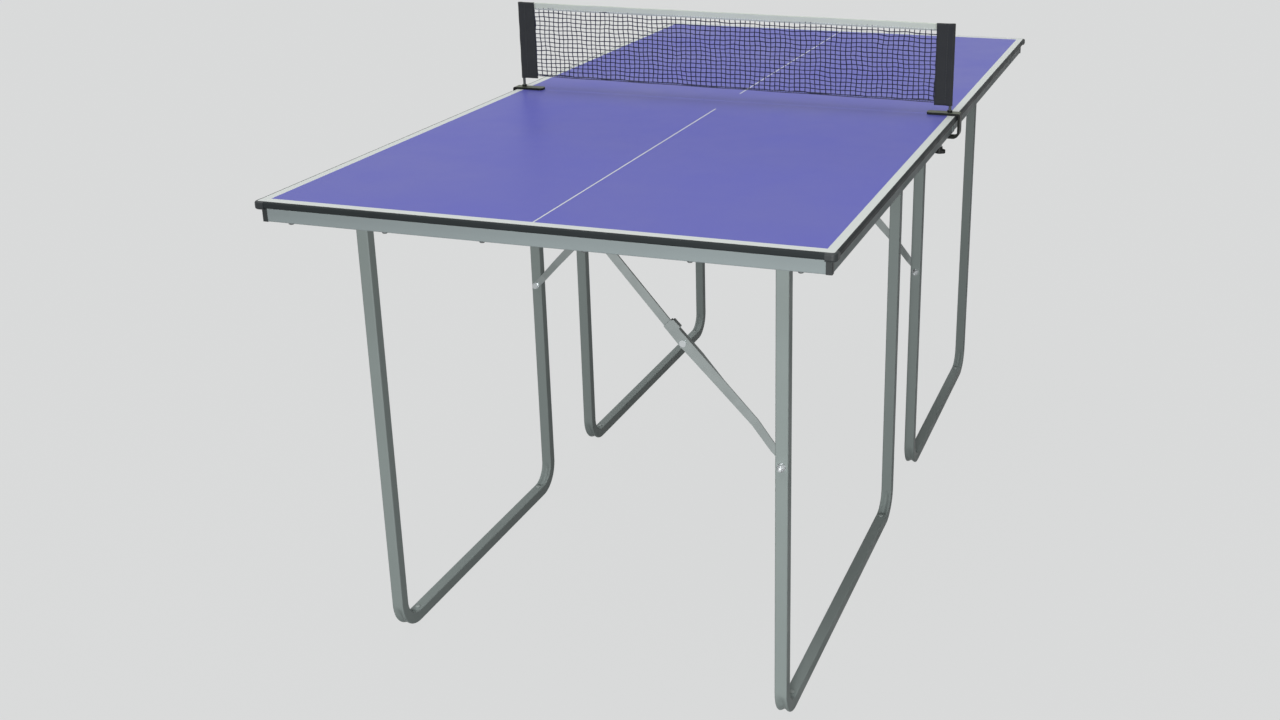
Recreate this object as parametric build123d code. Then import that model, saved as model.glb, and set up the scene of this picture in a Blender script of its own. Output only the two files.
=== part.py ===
from build123d import *
import os
from math import hypot

# Compact two-piece table tennis table, millimetres.
# X runs across the table, Y along it, Z up; the origin is on the floor under the middle of the seam.
# The near half lies on the -Y side of the seam, and the far half is the same assembly turned half round.

# Table top
TABLE_WIDTH = 848.0
TABLE_LENGTH = 1688.0
TABLE_HEIGHT = 760.0
SEAM_GAP = 0.6
BOARD_THICK = 10.0
BAND_WIDTH = 4.0
BAND_ROUND = 3.2
CORNER_RADIUS = 7.0

# Apron rails, rolled channels with the open side inwards
RAIL_INSET = 8.0
RAIL_HEIGHT = 21.0
RAIL_DEPTH = 12.0
RAIL_WALL = 1.2
RAIL_ROUND = 1.8

# Plastic corner caps over the two outer corners of each half
CAP_REACH = 8.0
CAP_PROUD = 0.6
CAP_FLOOR = 2.0

# Screws that hold the rails to the board
SCREW_SHANK = 4.0
SCREW_HEAD = 8.0
SCREW_HEAD_HEIGHT = 2.6
SCREW_BITE = 7.0
SCREW_HEAD_CHAMFER = 1.0
END_SCREW_COUNT = 6
END_SCREW_MARGIN = 34.0
SIDE_SCREW_COUNT = 5
SIDE_SCREW_MARGIN = 106.0
SEAM_SCREW_COUNT = 4
SEAM_SCREW_MARGIN = 191.0
SCREW_CLEARANCE = 0.05

# Folding legs of square tube
TUBE = 19.0
TUBE_WALL = 1.2
TUBE_ROUND = 2.0
BEND_RADIUS = 44.0
LEG_INSET = 92.0
PIVOT_DROP = 26.0
TUBE_ABOVE_PIVOT = 12.0
WIDE_END_INSET = 82.0
WIDE_SEAM_INSET = 62.0
NARROW_END_INSET = 132.0
NARROW_SEAM_INSET = 143.0
GLIDE_RIVET = 5.0
GLIDE_RIVET_HEAD = 8.0
GLIDE_RIVET_HEAD_HEIGHT = 1.6
GLIDE_RIVET_TAIL = 2.0
GLIDE_RIVET_PAST_BEND = 7.0

# Clevis brackets and bolts at the leg pivots
PIVOT_BOLT = 8.0
BRACKET_WALL = 2.5
BRACKET_LENGTH = 48.0
BRACKET_FOOT = 14.0
EAR_RADIUS = 10.0
EAR_CLEARANCE = 0.4
HEX_ACROSS_FLATS = 13.0
HEX_HEIGHT = 5.3
NUT_HEIGHT = 6.5
RUNNING_CLEARANCE = 0.06

# Folding braces: two links between the underside and one post of each leg
BRACE_DROP_ON_LEG = 303.0
BRACE_REACH = 280.0
OVER_CENTRE = 6.5
UPPER_WIDTH = 13.0
UPPER_THICK = 2.5
LINK_WALL = 2.0
LINK_SIDE_CLEARANCE = 0.5
LINK_EDGE_CLEARANCE = 0.4
LINK_OFFSET = 10.0
POST_CLEARANCE = 0.4
STRAP_WIDTH = 12.0
JOGGLE_FROM = 25.0
JOGGLE_TO = 68.0
CHANNEL_START = 140.0
CHANNEL_TAPER = 50.0
CHANNEL_PAST_KNUCKLE = 36.0
LIP_LENGTH = 15.0
LIP_HEIGHT = 3.0
LIP_SETBACK = 2.0
RIVET = 6.0
RIVET_HEAD = 10.0
RIVET_HEAD_HEIGHT = 1.5
BRACE_EAR_WALL = 2.5
BRACE_FOOT = 22.0
BRACE_BOLT = 6.0
BRACE_HEX = 10.0
BRACE_HEX_HEIGHT = 4.0
BRACE_NUT_HEIGHT = 5.0
WASHER = 12.5
WASHER_THICK = 1.2
BOLT_END = 4.0

# Net and its posts
NET_TOP = 158.0
NET_BOTTOM = 18.0
TAPE_HEIGHT = 16.0
TAPE_THICK = 3.0
HEM_HEIGHT = 4.0
HEM_THICK = 2.4
NET_THICK = 1.2
NET_STRAND = 1.6
NET_COLUMNS = 33
NET_ROWS = 9
POST_INSET = 15.0
POST_DIAMETER = 5.0
SLEEVE_WIDTH = 33.0
SLEEVE_WALL = 1.4
SLEEVE_THICK = 3.4
POST_IN_SLEEVE = 0.2

# Net clamps
CLAMP_THICK = 4.0
CLAMP_WIDTH = 20.0
CLAMP_REACH = 55.0
CLAMP_ARM_REACH = 44.0
CLAMP_ARM_GAP = 5.5
CLAMP_ROUND = 12.0
CLAMP_CLEARANCE = 0.2
SOCKET_DIAMETER = 9.0
SOCKET_HEIGHT = 4.0
CLAMP_SCREW = 8.0
CLAMP_SCREW_INSET = 30.5
CLAMP_SCREW_LENGTH = 30.0
PAD_DIAMETER = 14.0
PAD_THICK = 2.5
KNOB_WING = 21.0
KNOB_DEPTH = 9.0
KNOB_HEIGHT = 12.0
KNOB_HUB = 13.0

# Levels and outlines worked out from the sizes above
HALF_WIDTH = TABLE_WIDTH / 2
END_Y = -TABLE_LENGTH / 2
SEAM_Y = -SEAM_GAP / 2
UNDERSIDE = TABLE_HEIGHT - BOARD_THICK
RAIL_BOTTOM = UNDERSIDE - RAIL_HEIGHT
RAIL_X = HALF_WIDTH - RAIL_INSET
RAIL_END_Y = END_Y + RAIL_INSET
CAP_X = RAIL_X - CAP_REACH
CAP_Y = RAIL_END_Y + CAP_REACH
PIVOT_X = HALF_WIDTH - LEG_INSET
PIVOT_Z = UNDERSIDE - PIVOT_DROP
WIDE_BRACED_POST_Y = END_Y + WIDE_END_INSET
WIDE_SPAN = -WIDE_SEAM_INSET - WIDE_BRACED_POST_Y
NARROW_BRACED_POST_Y = -NARROW_SEAM_INSET
NARROW_SPAN = NARROW_BRACED_POST_Y - END_Y - NARROW_END_INSET
FOOT_Z = TUBE / 2
BRACE_LEG_Z = PIVOT_Z - BRACE_DROP_ON_LEG

# Link lengths that let the brace lie flat along the leg when the leg is folded;
# on a standing leg the knuckle hangs a little below the straight line and locks there
BRACE_SPAN = hypot(BRACE_REACH, BRACE_DROP_ON_LEG)
LOWER_RUN = (BRACE_SPAN + BRACE_DROP_ON_LEG - BRACE_REACH) / 2
UPPER_RUN = BRACE_SPAN - LOWER_RUN
LOWER_LINK = hypot(LOWER_RUN, OVER_CENTRE)
UPPER_LINK = hypot(UPPER_RUN, OVER_CENTRE)
KNUCKLE_X = -(BRACE_REACH * LOWER_RUN + BRACE_DROP_ON_LEG * OVER_CENTRE) / BRACE_SPAN
KNUCKLE_RISE = (BRACE_DROP_ON_LEG * LOWER_RUN - BRACE_REACH * OVER_CENTRE) / BRACE_SPAN
KNUCKLE_Z = BRACE_LEG_Z + KNUCKLE_RISE
CHANNEL_RISE = CHANNEL_PAST_KNUCKLE * OVER_CENTRE * (1 / LOWER_RUN + 1 / UPPER_RUN)
LOWER_PLANE = Plane(origin=(0, 0, BRACE_LEG_Z), x_dir=(KNUCKLE_X, 0, KNUCKLE_RISE), z_dir=(0, 1, 0))
UPPER_PLANE = Plane(
    origin=(KNUCKLE_X, 0, KNUCKLE_Z),
    x_dir=(-BRACE_REACH - KNUCKLE_X, 0, PIVOT_Z - KNUCKLE_Z),
    z_dir=(0, 1, 0),
)

# Depths of the brace pieces, counted from the inner face of the braced post
STRAP_NEAR = POST_CLEARANCE
STRAP_FAR = STRAP_NEAR + LINK_WALL
FLANGE_FAR = LINK_OFFSET + LINK_WALL
UPPER_NEAR = FLANGE_FAR + LINK_SIDE_CLEARANCE
UPPER_FAR = UPPER_NEAR + UPPER_THICK
CHANNEL_FAR = UPPER_FAR + LINK_SIDE_CLEARANCE + LINK_WALL
EAR_NEAR = UPPER_FAR + EAR_CLEARANCE
EAR_FAR = EAR_NEAR + BRACE_EAR_WALL

# Places of the two legs of the near half: the frame of each leg has its X at the pivot,
# its Y at the inner face of the braced post and its -X towards the middle of the table
WIDE_PLACE = Location((PIVOT_X, WIDE_BRACED_POST_Y + TUBE / 2, 0))
NARROW_PLACE = Location((-PIVOT_X, NARROW_BRACED_POST_Y - TUBE / 2, 0), (0, 0, 180))
FAR_TURN = Rotation(0, 0, 180)

# Places and levels of the net set
POST_X = HALF_WIDTH - POST_INSET
POST_FOOT_Z = TABLE_HEIGHT + CLAMP_CLEARANCE + CLAMP_THICK
NET_HIGH = TABLE_HEIGHT + NET_TOP
NET_LOW = TABLE_HEIGHT + NET_BOTTOM
SLEEVE_ROUND = POST_DIAMETER / 2 + POST_IN_SLEEVE + SLEEVE_WALL
SLEEVE_INNER_X = POST_X + SLEEVE_ROUND - SLEEVE_WIDTH
ARM_TOP = RAIL_BOTTOM - CLAMP_ARM_GAP
SCREW_X = HALF_WIDTH - CLAMP_SCREW_INSET


def block(x0, x1, y0, y1, z0, z1):
    """A box between two corners."""
    corner = (Align.MIN, Align.MIN, Align.MIN)
    return Pos(x0, y0, z0) * Box(x1 - x0, y1 - y0, z1 - z0, align=corner)


def rod_z(diameter, x, y, z0, z1):
    """A round bar along Z."""
    base = (Align.CENTER, Align.CENTER, Align.MIN)
    return Pos(x, y, z0) * Cylinder(diameter / 2, z1 - z0, align=base)


def rod_y(diameter, x, z, y0, y1):
    """A round bar along Y."""
    base = (Align.CENTER, Align.CENTER, Align.MIN)
    return Pos(x, y0, z) * Rot(-90, 0, 0) * Cylinder(diameter / 2, y1 - y0, align=base)


def hex_y(across_flats, x, z, y0, y1):
    """A hexagon bar along Y."""
    face = RegularPolygon(across_flats / 2, 6, major_radius=False)
    return Pos(x, y0, z) * Rot(-90, 0, 0) * extrude(face, y1 - y0)


def half_outline(inset, corner):
    """Plan outline of one half, rounded at its outer corners and square at the seam."""
    width = TABLE_WIDTH - 2 * inset
    length = SEAM_Y - END_Y - inset
    face = Pos(0, SEAM_Y - length / 2) * Rectangle(width, length)
    outer = face.vertices().group_by(Axis.Y)[0]
    return fillet(outer, corner)


def make_board():
    """Playing board with blind holes for the rail screws."""
    face = half_outline(BAND_WIDTH, CORNER_RADIUS - BAND_WIDTH)
    board = Pos(0, 0, UNDERSIDE) * extrude(face, BOARD_THICK)
    bore = SCREW_SHANK + 2 * SCREW_CLEARANCE
    depth = UNDERSIDE + SCREW_BITE + SCREW_CLEARANCE
    return board - [rod_z(bore, x, y, UNDERSIDE, depth) for x, y in screw_places()]


def bullnose_slab(outset, z0, z1, rounding):
    """The outline of one half as a slab with its outer rim rounded over."""
    slab = Pos(0, 0, z0) * extrude(half_outline(-outset, CORNER_RADIUS + outset), z1 - z0)
    slab -= block(-TABLE_WIDTH, TABLE_WIDTH, SEAM_Y, SEAM_Y + TABLE_LENGTH, z0, z1)
    rim = [
        edge
        for edge in slab.edges().group_by(Axis.Z)[0] + slab.edges().group_by(Axis.Z)[-1]
        if edge.center().Y < SEAM_Y - rounding
    ]
    return fillet(rim, rounding)


def corner_regions(z0, z1):
    """The two outer corners of a half that the caps cover."""
    far_out = TABLE_WIDTH
    right = block(CAP_X, far_out, END_Y - far_out, CAP_Y, z0, z1)
    left = block(-far_out, -CAP_X, END_Y - far_out, CAP_Y, z0, z1)
    return [right, left]


def make_edge_band():
    """Rounded plastic edging on the three outer sides, open at the corner caps."""
    band = bullnose_slab(0, UNDERSIDE, TABLE_HEIGHT, BAND_ROUND)
    core = extrude(half_outline(BAND_WIDTH, CORNER_RADIUS - BAND_WIDTH), BOARD_THICK)
    band -= Pos(0, 0, UNDERSIDE) * core
    return band - corner_regions(UNDERSIDE - BOARD_THICK, TABLE_HEIGHT + BOARD_THICK)


def make_corner_caps():
    """Moulded caps: a rounded shell over the board corner and a block that closes the rails."""
    shell = bullnose_slab(CAP_PROUD, UNDERSIDE - CAP_FLOOR, TABLE_HEIGHT, BAND_ROUND)
    core = extrude(half_outline(BAND_WIDTH, CORNER_RADIUS - BAND_WIDTH), BOARD_THICK)
    shell -= Pos(0, 0, UNDERSIDE) * core
    outer_x = RAIL_X + CAP_PROUD
    outer_y = RAIL_END_Y - CAP_PROUD
    caps = []
    for side, region in zip((1, -1), corner_regions(RAIL_BOTTOM, TABLE_HEIGHT)):
        upper = shell & region
        x0, x1 = sorted((side * CAP_X, side * outer_x))
        lower = block(x0, x1, outer_y, CAP_Y, RAIL_BOTTOM, UNDERSIDE - CAP_FLOOR)
        edge = lower.edges().filter_by(Axis.Z).sort_by_distance((side * HALF_WIDTH, END_Y, UNDERSIDE))[0]
        caps.append(upper + fillet(edge, RAIL_ROUND))
    return caps


def rail(length):
    """Rolled channel along +Y: its web stands at X = 0 and its flanges point to -X."""
    outer = Pos(-RAIL_DEPTH / 2, RAIL_HEIGHT / 2) * Rectangle(RAIL_DEPTH, RAIL_HEIGHT)
    outer = fillet(outer.vertices().group_by(Axis.X)[-1], RAIL_ROUND)
    hollow_depth = RAIL_DEPTH - RAIL_WALL
    hollow = Rectangle(hollow_depth, RAIL_HEIGHT - 2 * RAIL_WALL)
    hollow = Pos(-RAIL_WALL - hollow_depth / 2, RAIL_HEIGHT / 2) * hollow
    hollow = fillet(hollow.vertices().group_by(Axis.X)[-1], RAIL_ROUND - RAIL_WALL)
    section = Plane.XZ * (outer - hollow)
    return extrude(section, -length)


def make_rails():
    """The four rails under one half, by name, drilled for their screws."""
    side_length = SEAM_Y - RAIL_DEPTH - CAP_Y
    inner_x = RAIL_X - RAIL_DEPTH
    side = Pos(RAIL_X, CAP_Y, RAIL_BOTTOM) * rail(side_length)
    end = Pos(-CAP_X, RAIL_END_Y, RAIL_BOTTOM) * Rot(0, 0, -90) * rail(2 * CAP_X)
    end -= block(inner_x, RAIL_X, CAP_Y, SEAM_Y, RAIL_BOTTOM, UNDERSIDE)
    end -= block(-RAIL_X, -inner_x, CAP_Y, SEAM_Y, RAIL_BOTTOM, UNDERSIDE)
    seam = Pos(RAIL_X, SEAM_Y, RAIL_BOTTOM) * Rot(0, 0, 90) * rail(2 * RAIL_X)
    rails = {
        "right_rail": side,
        "left_rail": Pos(-RAIL_X, CAP_Y + side_length, RAIL_BOTTOM) * Rot(0, 0, 180) * rail(side_length),
        "end_rail": end,
        "seam_rail": seam,
    }
    bore = SCREW_SHANK + 2 * SCREW_CLEARANCE
    holes = [rod_z(bore, x, y, RAIL_BOTTOM, UNDERSIDE) for x, y in screw_places()]
    return {name: solid - holes for name, solid in rails.items()}


def spread(count, low, high):
    """Even places from one end of a stretch to the other."""
    step = (high - low) / (count - 1)
    return [low + step * i for i in range(count)]


def screw_places():
    """Plan places of the rail screws of one half."""
    end_reach = CAP_X - END_SCREW_MARGIN
    seam_reach = RAIL_X - SEAM_SCREW_MARGIN
    side_low = CAP_Y + SIDE_SCREW_MARGIN
    side_high = SEAM_Y - RAIL_DEPTH - SIDE_SCREW_MARGIN
    places = [(x, RAIL_END_Y + RAIL_DEPTH / 2) for x in spread(END_SCREW_COUNT, -end_reach, end_reach)]
    places += [(x, SEAM_Y - RAIL_DEPTH / 2) for x in spread(SEAM_SCREW_COUNT, -seam_reach, seam_reach)]
    for side in (1, -1):
        x = side * (RAIL_X - RAIL_DEPTH / 2)
        places += [(x, y) for y in spread(SIDE_SCREW_COUNT, side_low, side_high)]
    return places


def make_rail_screws():
    """Pan head screws up through the rails into the board."""
    screws = []
    for x, y in screw_places():
        head = rod_z(SCREW_HEAD, x, y, RAIL_BOTTOM - SCREW_HEAD_HEIGHT, RAIL_BOTTOM)
        rim = head.edges().group_by(Axis.Z)[0]
        head = chamfer(rim, SCREW_HEAD_CHAMFER)
        screws.append(head + rod_z(SCREW_SHANK, x, y, RAIL_BOTTOM, UNDERSIDE + SCREW_BITE))
    return screws


def post_centres(span):
    """Y of the two posts of a leg in the leg's own frame, the braced one first."""
    return (-TUBE / 2, span - TUBE / 2)


def glide_rivet_places(span):
    """Y of the two rivets in the foot bar of a leg, just past its bends."""
    near, far = post_centres(span)
    reach = BEND_RADIUS + GLIDE_RIVET_PAST_BEND
    return (near + reach, far - reach)


def make_leg(span):
    """One U leg bent from square tube, drilled for its pivots and for the brace bolt."""
    near, far = post_centres(span)
    top = PIVOT_Z + TUBE_ABOVE_PIVOT
    path = FilletPolyline(
        (0, near, top), (0, near, FOOT_Z), (0, far, FOOT_Z), (0, far, top), radius=BEND_RADIUS
    )
    start = Plane(origin=(0, near, top), x_dir=(1, 0, 0), z_dir=(0, 0, -1))
    bore = TUBE - 2 * TUBE_WALL
    section = RectangleRounded(TUBE, TUBE, TUBE_ROUND)
    section -= RectangleRounded(bore, bore, TUBE_ROUND - TUBE_WALL)
    leg = sweep(start * section, path)
    hole = PIVOT_BOLT + 2 * RUNNING_CLEARANCE
    for y in (near, far):
        leg -= rod_y(hole, 0, PIVOT_Z, y - TUBE, y + TUBE)
    for y in glide_rivet_places(span):
        leg -= rod_z(GLIDE_RIVET + 2 * SCREW_CLEARANCE, 0, y, FOOT_Z, 2 * TUBE)
    return leg - rod_y(BRACE_BOLT + 2 * RUNNING_CLEARANCE, 0, BRACE_LEG_Z, near - TUBE, near + TUBE)


def make_leg_brackets(span):
    """Pressed clevis brackets under the board that carry the two posts of one leg."""
    inner = TUBE / 2 + EAR_CLEARANCE
    outer = inner + BRACKET_WALL
    half = BRACKET_LENGTH / 2
    brackets = []
    for y in post_centres(span):
        foot = block(-half, half, y - outer - BRACKET_FOOT, y + outer + BRACKET_FOOT,
                     UNDERSIDE - BRACKET_WALL, UNDERSIDE)
        foot = fillet(foot.edges().filter_by(Axis.Z), EAR_RADIUS / 2)
        ear = Pos(0, PIVOT_Z) * Circle(EAR_RADIUS)
        taper = Polyline(
            (-EAR_RADIUS, PIVOT_Z), (EAR_RADIUS, PIVOT_Z),
            (half - EAR_RADIUS / 2, UNDERSIDE), (EAR_RADIUS / 2 - half, UNDERSIDE), close=True
        )
        ear = Plane.XZ * (ear + make_face(taper))
        for side in (-1, 1):
            face_y = y + side * inner
            foot += Pos(0, face_y, 0) * extrude(ear, -side * BRACKET_WALL)
        hole = PIVOT_BOLT + 2 * SCREW_CLEARANCE
        brackets.append(foot - rod_y(hole, 0, PIVOT_Z, y - 2 * outer, y + 2 * outer))
    return brackets


def make_leg_pivots(span):
    """Hinge bolts through the brackets and the posts, each with its lock nut."""
    grip = TUBE / 2 + EAR_CLEARANCE + BRACKET_WALL
    bolts = []
    for y in post_centres(span):
        bolt = rod_y(PIVOT_BOLT, 0, PIVOT_Z, y - grip, y + grip)
        bolt += hex_y(HEX_ACROSS_FLATS, 0, PIVOT_Z, y - grip - HEX_HEIGHT, y - grip)
        bolt += hex_y(HEX_ACROSS_FLATS, 0, PIVOT_Z, y + grip, y + grip + NUT_HEIGHT)
        bolts.append(bolt)
    return bolts


def link_piece(plane, face, depth_from, depth_to):
    """A plate of the brace, drawn along and across a link and given its depth."""
    return plane * Pos(0, 0, depth_from) * extrude(face, depth_to - depth_from, dir=(0, 0, 1))


def link_bore(plane, diameter, along):
    """A bore through the brace at a distance along a link."""
    face = Pos(along, 0) * Circle(diameter / 2)
    return link_piece(plane, face, -TUBE, CHANNEL_FAR + TUBE)


def make_lower_link():
    """Lower link: a pressed channel that stops the upper link and runs out into a joggled strap."""
    end = LOWER_LINK + CHANNEL_PAST_KNUCKLE
    strap_half = STRAP_WIDTH / 2
    upper_half = UPPER_WIDTH / 2
    web_low = upper_half + LINK_EDGE_CLEARANCE
    web_high = web_low + CHANNEL_RISE
    web_side = [(CHANNEL_START, web_low + LINK_WALL), (end, web_high + LINK_WALL)]
    open_side = [(end, CHANNEL_RISE - upper_half), (LOWER_LINK, -upper_half)]
    plan = Polyline(
        (0, strap_half), (JOGGLE_FROM, strap_half), *web_side, *open_side,
        (CHANNEL_START, -strap_half), (0, -strap_half), close=True
    )
    plan = make_face(plan) + Circle(strap_half)
    side = Polyline(
        (-strap_half, STRAP_NEAR), (JOGGLE_FROM, STRAP_NEAR), (JOGGLE_TO, LINK_OFFSET), (end, LINK_OFFSET),
        (end, FLANGE_FAR), (JOGGLE_TO, FLANGE_FAR), (JOGGLE_FROM, STRAP_FAR), (-strap_half, STRAP_FAR),
        close=True
    )
    strap = LOWER_PLANE * extrude(Plane.XZ * make_face(side), 2 * UPPER_WIDTH, both=True)
    strap &= link_piece(LOWER_PLANE, plan, 0, CHANNEL_FAR)
    web = make_face(Polyline(*web_side, (end, web_high), (CHANNEL_START, web_low), close=True))
    flange_start = (CHANNEL_START + UPPER_WIDTH, -strap_half)
    flange = make_face(Polyline(*web_side, *open_side, flange_start, close=True))
    lip_top = web_high + LINK_WALL + LIP_HEIGHT
    lip = Pos(end - LIP_SETBACK - LIP_LENGTH / 2, (web_high + lip_top) / 2)
    lip *= Rectangle(LIP_LENGTH, lip_top - web_high)
    lip = fillet(lip.vertices().group_by(Axis.Y)[-1], LIP_HEIGHT / 2)
    full_depth = CHANNEL_START + CHANNEL_TAPER
    runout = Polyline(
        (CHANNEL_START, FLANGE_FAR), (full_depth, CHANNEL_FAR), (CHANNEL_START, CHANNEL_FAR), close=True
    )
    link = strap + link_piece(LOWER_PLANE, web, LINK_OFFSET, CHANNEL_FAR)
    link += link_piece(LOWER_PLANE, flange, CHANNEL_FAR - LINK_WALL, CHANNEL_FAR)
    link -= LOWER_PLANE * extrude(Plane.XZ * make_face(runout), 2 * UPPER_WIDTH, both=True)
    link += link_piece(LOWER_PLANE, lip, LINK_OFFSET, CHANNEL_FAR)
    link -= link_bore(LOWER_PLANE, BRACE_BOLT + 2 * SCREW_CLEARANCE, 0)
    return link - link_bore(LOWER_PLANE, RIVET + 2 * SCREW_CLEARANCE, LOWER_LINK)


def make_upper_link():
    """Upper link: a flat bar with round ends that folds into the channel."""
    face = Pos(UPPER_LINK / 2, 0) * SlotCenterToCenter(UPPER_LINK, UPPER_WIDTH)
    link = link_piece(UPPER_PLANE, face, UPPER_NEAR, UPPER_FAR)
    hole = RIVET + 2 * RUNNING_CLEARANCE
    return link - link_bore(UPPER_PLANE, hole, 0) - link_bore(UPPER_PLANE, hole, UPPER_LINK)


def make_knuckle_rivet():
    """Rivet at the knuckle, through both flanges and the upper link."""
    shank = Pos(LOWER_LINK, 0) * Circle(RIVET / 2)
    head = Pos(LOWER_LINK, 0) * Circle(RIVET_HEAD / 2)
    rivet = link_piece(LOWER_PLANE, shank, LINK_OFFSET, CHANNEL_FAR)
    rivet += link_piece(LOWER_PLANE, head, LINK_OFFSET - RIVET_HEAD_HEIGHT, LINK_OFFSET)
    return rivet + link_piece(LOWER_PLANE, head, CHANNEL_FAR, CHANNEL_FAR + RIVET_HEAD_HEIGHT)


def make_leg_bolt():
    """Bolt head and washer in the strap, cut off short of the post."""
    bolt = rod_y(BRACE_BOLT, 0, BRACE_LEG_Z, POST_CLEARANCE / 2, STRAP_FAR)
    seat = STRAP_FAR + WASHER_THICK
    bolt += rod_y(WASHER, 0, BRACE_LEG_Z, STRAP_FAR, seat)
    return bolt + hex_y(BRACE_HEX, 0, BRACE_LEG_Z, seat, seat + BRACE_HEX_HEIGHT)


def make_leg_nut():
    """The bolt's end through the post, with its washer and lock nut on the outer face."""
    washer = -TUBE - WASHER_THICK
    nut = washer - BRACE_NUT_HEIGHT
    piece = rod_y(BRACE_BOLT, 0, BRACE_LEG_Z, nut - BOLT_END, 0)
    piece += rod_y(WASHER, 0, BRACE_LEG_Z, washer, -TUBE)
    return piece + hex_y(BRACE_HEX, 0, BRACE_LEG_Z, nut, washer)


def make_glide_rivets(span):
    """Blind rivets in the top of the foot bar, each with its tail spread inside the tube."""
    inside = TUBE - TUBE_WALL
    rivets = []
    for y in glide_rivet_places(span):
        head = rod_z(GLIDE_RIVET_HEAD, 0, y, TUBE, TUBE + GLIDE_RIVET_HEAD_HEIGHT)
        head = chamfer(head.edges().group_by(Axis.Z)[-1], GLIDE_RIVET_HEAD_HEIGHT / 2)
        rivets.append(head + rod_z(GLIDE_RIVET, 0, y, inside - GLIDE_RIVET_TAIL, TUBE))
    return rivets


def make_brace_bracket():
    """Angle bracket under the board that carries the upper link."""
    x = -BRACE_REACH
    ear = Pos(x, PIVOT_Z) * Circle(EAR_RADIUS)
    ear += Pos(x, (PIVOT_Z + UNDERSIDE) / 2) * Rectangle(2 * EAR_RADIUS, PIVOT_DROP)
    bracket = Pos(0, EAR_NEAR, 0) * extrude(Plane.XZ * ear, -BRACE_EAR_WALL)
    foot = block(x - EAR_RADIUS, x + EAR_RADIUS, EAR_NEAR, EAR_FAR + BRACE_FOOT,
                 UNDERSIDE - BRACE_EAR_WALL, UNDERSIDE)
    far_corners = foot.edges().filter_by(Axis.Z).group_by(Axis.Y)[-1]
    bracket += fillet(far_corners, EAR_RADIUS / 2)
    return bracket - rod_y(RIVET + 2 * SCREW_CLEARANCE, x, PIVOT_Z, 0, 2 * EAR_FAR)


def make_brace_pin():
    """Rivet that hinges the upper link on its bracket."""
    x = -BRACE_REACH
    pin = rod_y(RIVET, x, PIVOT_Z, UPPER_NEAR, EAR_FAR)
    pin += rod_y(RIVET_HEAD, x, PIVOT_Z, UPPER_NEAR - RIVET_HEAD_HEIGHT, UPPER_NEAR)
    return pin + rod_y(RIVET_HEAD, x, PIVOT_Z, EAR_FAR, EAR_FAR + RIVET_HEAD_HEIGHT)


def make_half():
    """All the nodes of the near half, by name."""
    nodes = {
        "top_board": [make_board()],
        "edge_band": [make_edge_band()],
        "corner_caps": make_corner_caps(),
        "rail_screws": make_rail_screws(),
        "leg_brackets": [],
        "brace_brackets": [],
        "pivot_bolts": [],
    }
    for name, solid in make_rails().items():
        nodes[name] = [solid]
    for leg, place, span in (("wide", WIDE_PLACE, WIDE_SPAN), ("narrow", NARROW_PLACE, NARROW_SPAN)):
        nodes["leg_brackets"] += [place * solid for solid in make_leg_brackets(span)]
        nodes["brace_brackets"] += [place * make_brace_bracket()]
        nodes["pivot_bolts"] += [place * solid for solid in make_leg_pivots(span) + [make_brace_pin()]]
        nodes[leg + "_leg"] = [place * make_leg(span)]
        nodes[leg + "_leg_nut"] = [place * solid for solid in [make_leg_nut()] + make_glide_rivets(span)]
        nodes[leg + "_upper_link"] = [place * make_upper_link()]
        nodes[leg + "_lower_link"] = [place * make_lower_link()]
        nodes[leg + "_knuckle_rivet"] = [place * make_knuckle_rivet()]
        nodes[leg + "_leg_bolt"] = [place * make_leg_bolt()]
    return nodes


def make_clamp():
    """Right-hand net clamp: a plate on the table, a strap round the edge and an arm below the rails."""
    low = TABLE_HEIGHT + CLAMP_CLEARANCE
    inner = HALF_WIDTH + CAP_PROUD + CLAMP_CLEARANCE
    outer = inner + CLAMP_THICK
    arm_low = ARM_TOP - CLAMP_THICK
    plate_end = HALF_WIDTH - CLAMP_REACH
    arm_end = HALF_WIDTH - CLAMP_ARM_REACH
    outline = Polyline(
        (plate_end, low), (inner, low), (inner, ARM_TOP), (arm_end, ARM_TOP), (arm_end, arm_low),
        (outer, arm_low), (outer, low + CLAMP_THICK), (plate_end, low + CLAMP_THICK), close=True
    )
    face = make_face(outline)
    bottom_outer = face.vertices().sort_by_distance((outer, arm_low))[0]
    face = fillet(bottom_outer, CLAMP_ROUND)
    bottom_inner = face.vertices().sort_by_distance((inner, ARM_TOP))[0]
    face = fillet(bottom_inner, CLAMP_ROUND - CLAMP_THICK)
    top_outer = face.vertices().sort_by_distance((outer, low + CLAMP_THICK))[0]
    face = fillet(top_outer, CLAMP_THICK - CLAMP_CLEARANCE)
    clamp = extrude(Plane.XZ * face, CLAMP_WIDTH / 2, both=True)
    for end in (plate_end, arm_end):
        corners = [e for e in clamp.edges().filter_by(Axis.Z) if abs(e.center().X - end) < CLAMP_CLEARANCE]
        clamp = fillet(corners, CLAMP_WIDTH / 3)
    clamp += rod_z(SOCKET_DIAMETER, POST_X, 0, low, POST_FOOT_Z + SOCKET_HEIGHT)
    clamp -= rod_z(POST_DIAMETER + 2 * SCREW_CLEARANCE, POST_X, 0, POST_FOOT_Z, NET_HIGH)
    return clamp - rod_z(CLAMP_SCREW + 2 * RUNNING_CLEARANCE, SCREW_X, 0, arm_low - CLAMP_THICK, ARM_TOP)


def make_clamp_pad():
    """Pressure pad on the screw's tip, against the undersides of the two seam rails."""
    top = RAIL_BOTTOM - CLAMP_CLEARANCE
    pad = rod_z(PAD_DIAMETER, SCREW_X, 0, top - PAD_THICK, top)
    return chamfer(pad.edges().group_by(Axis.Z)[-1], PAD_THICK / 4)


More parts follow.
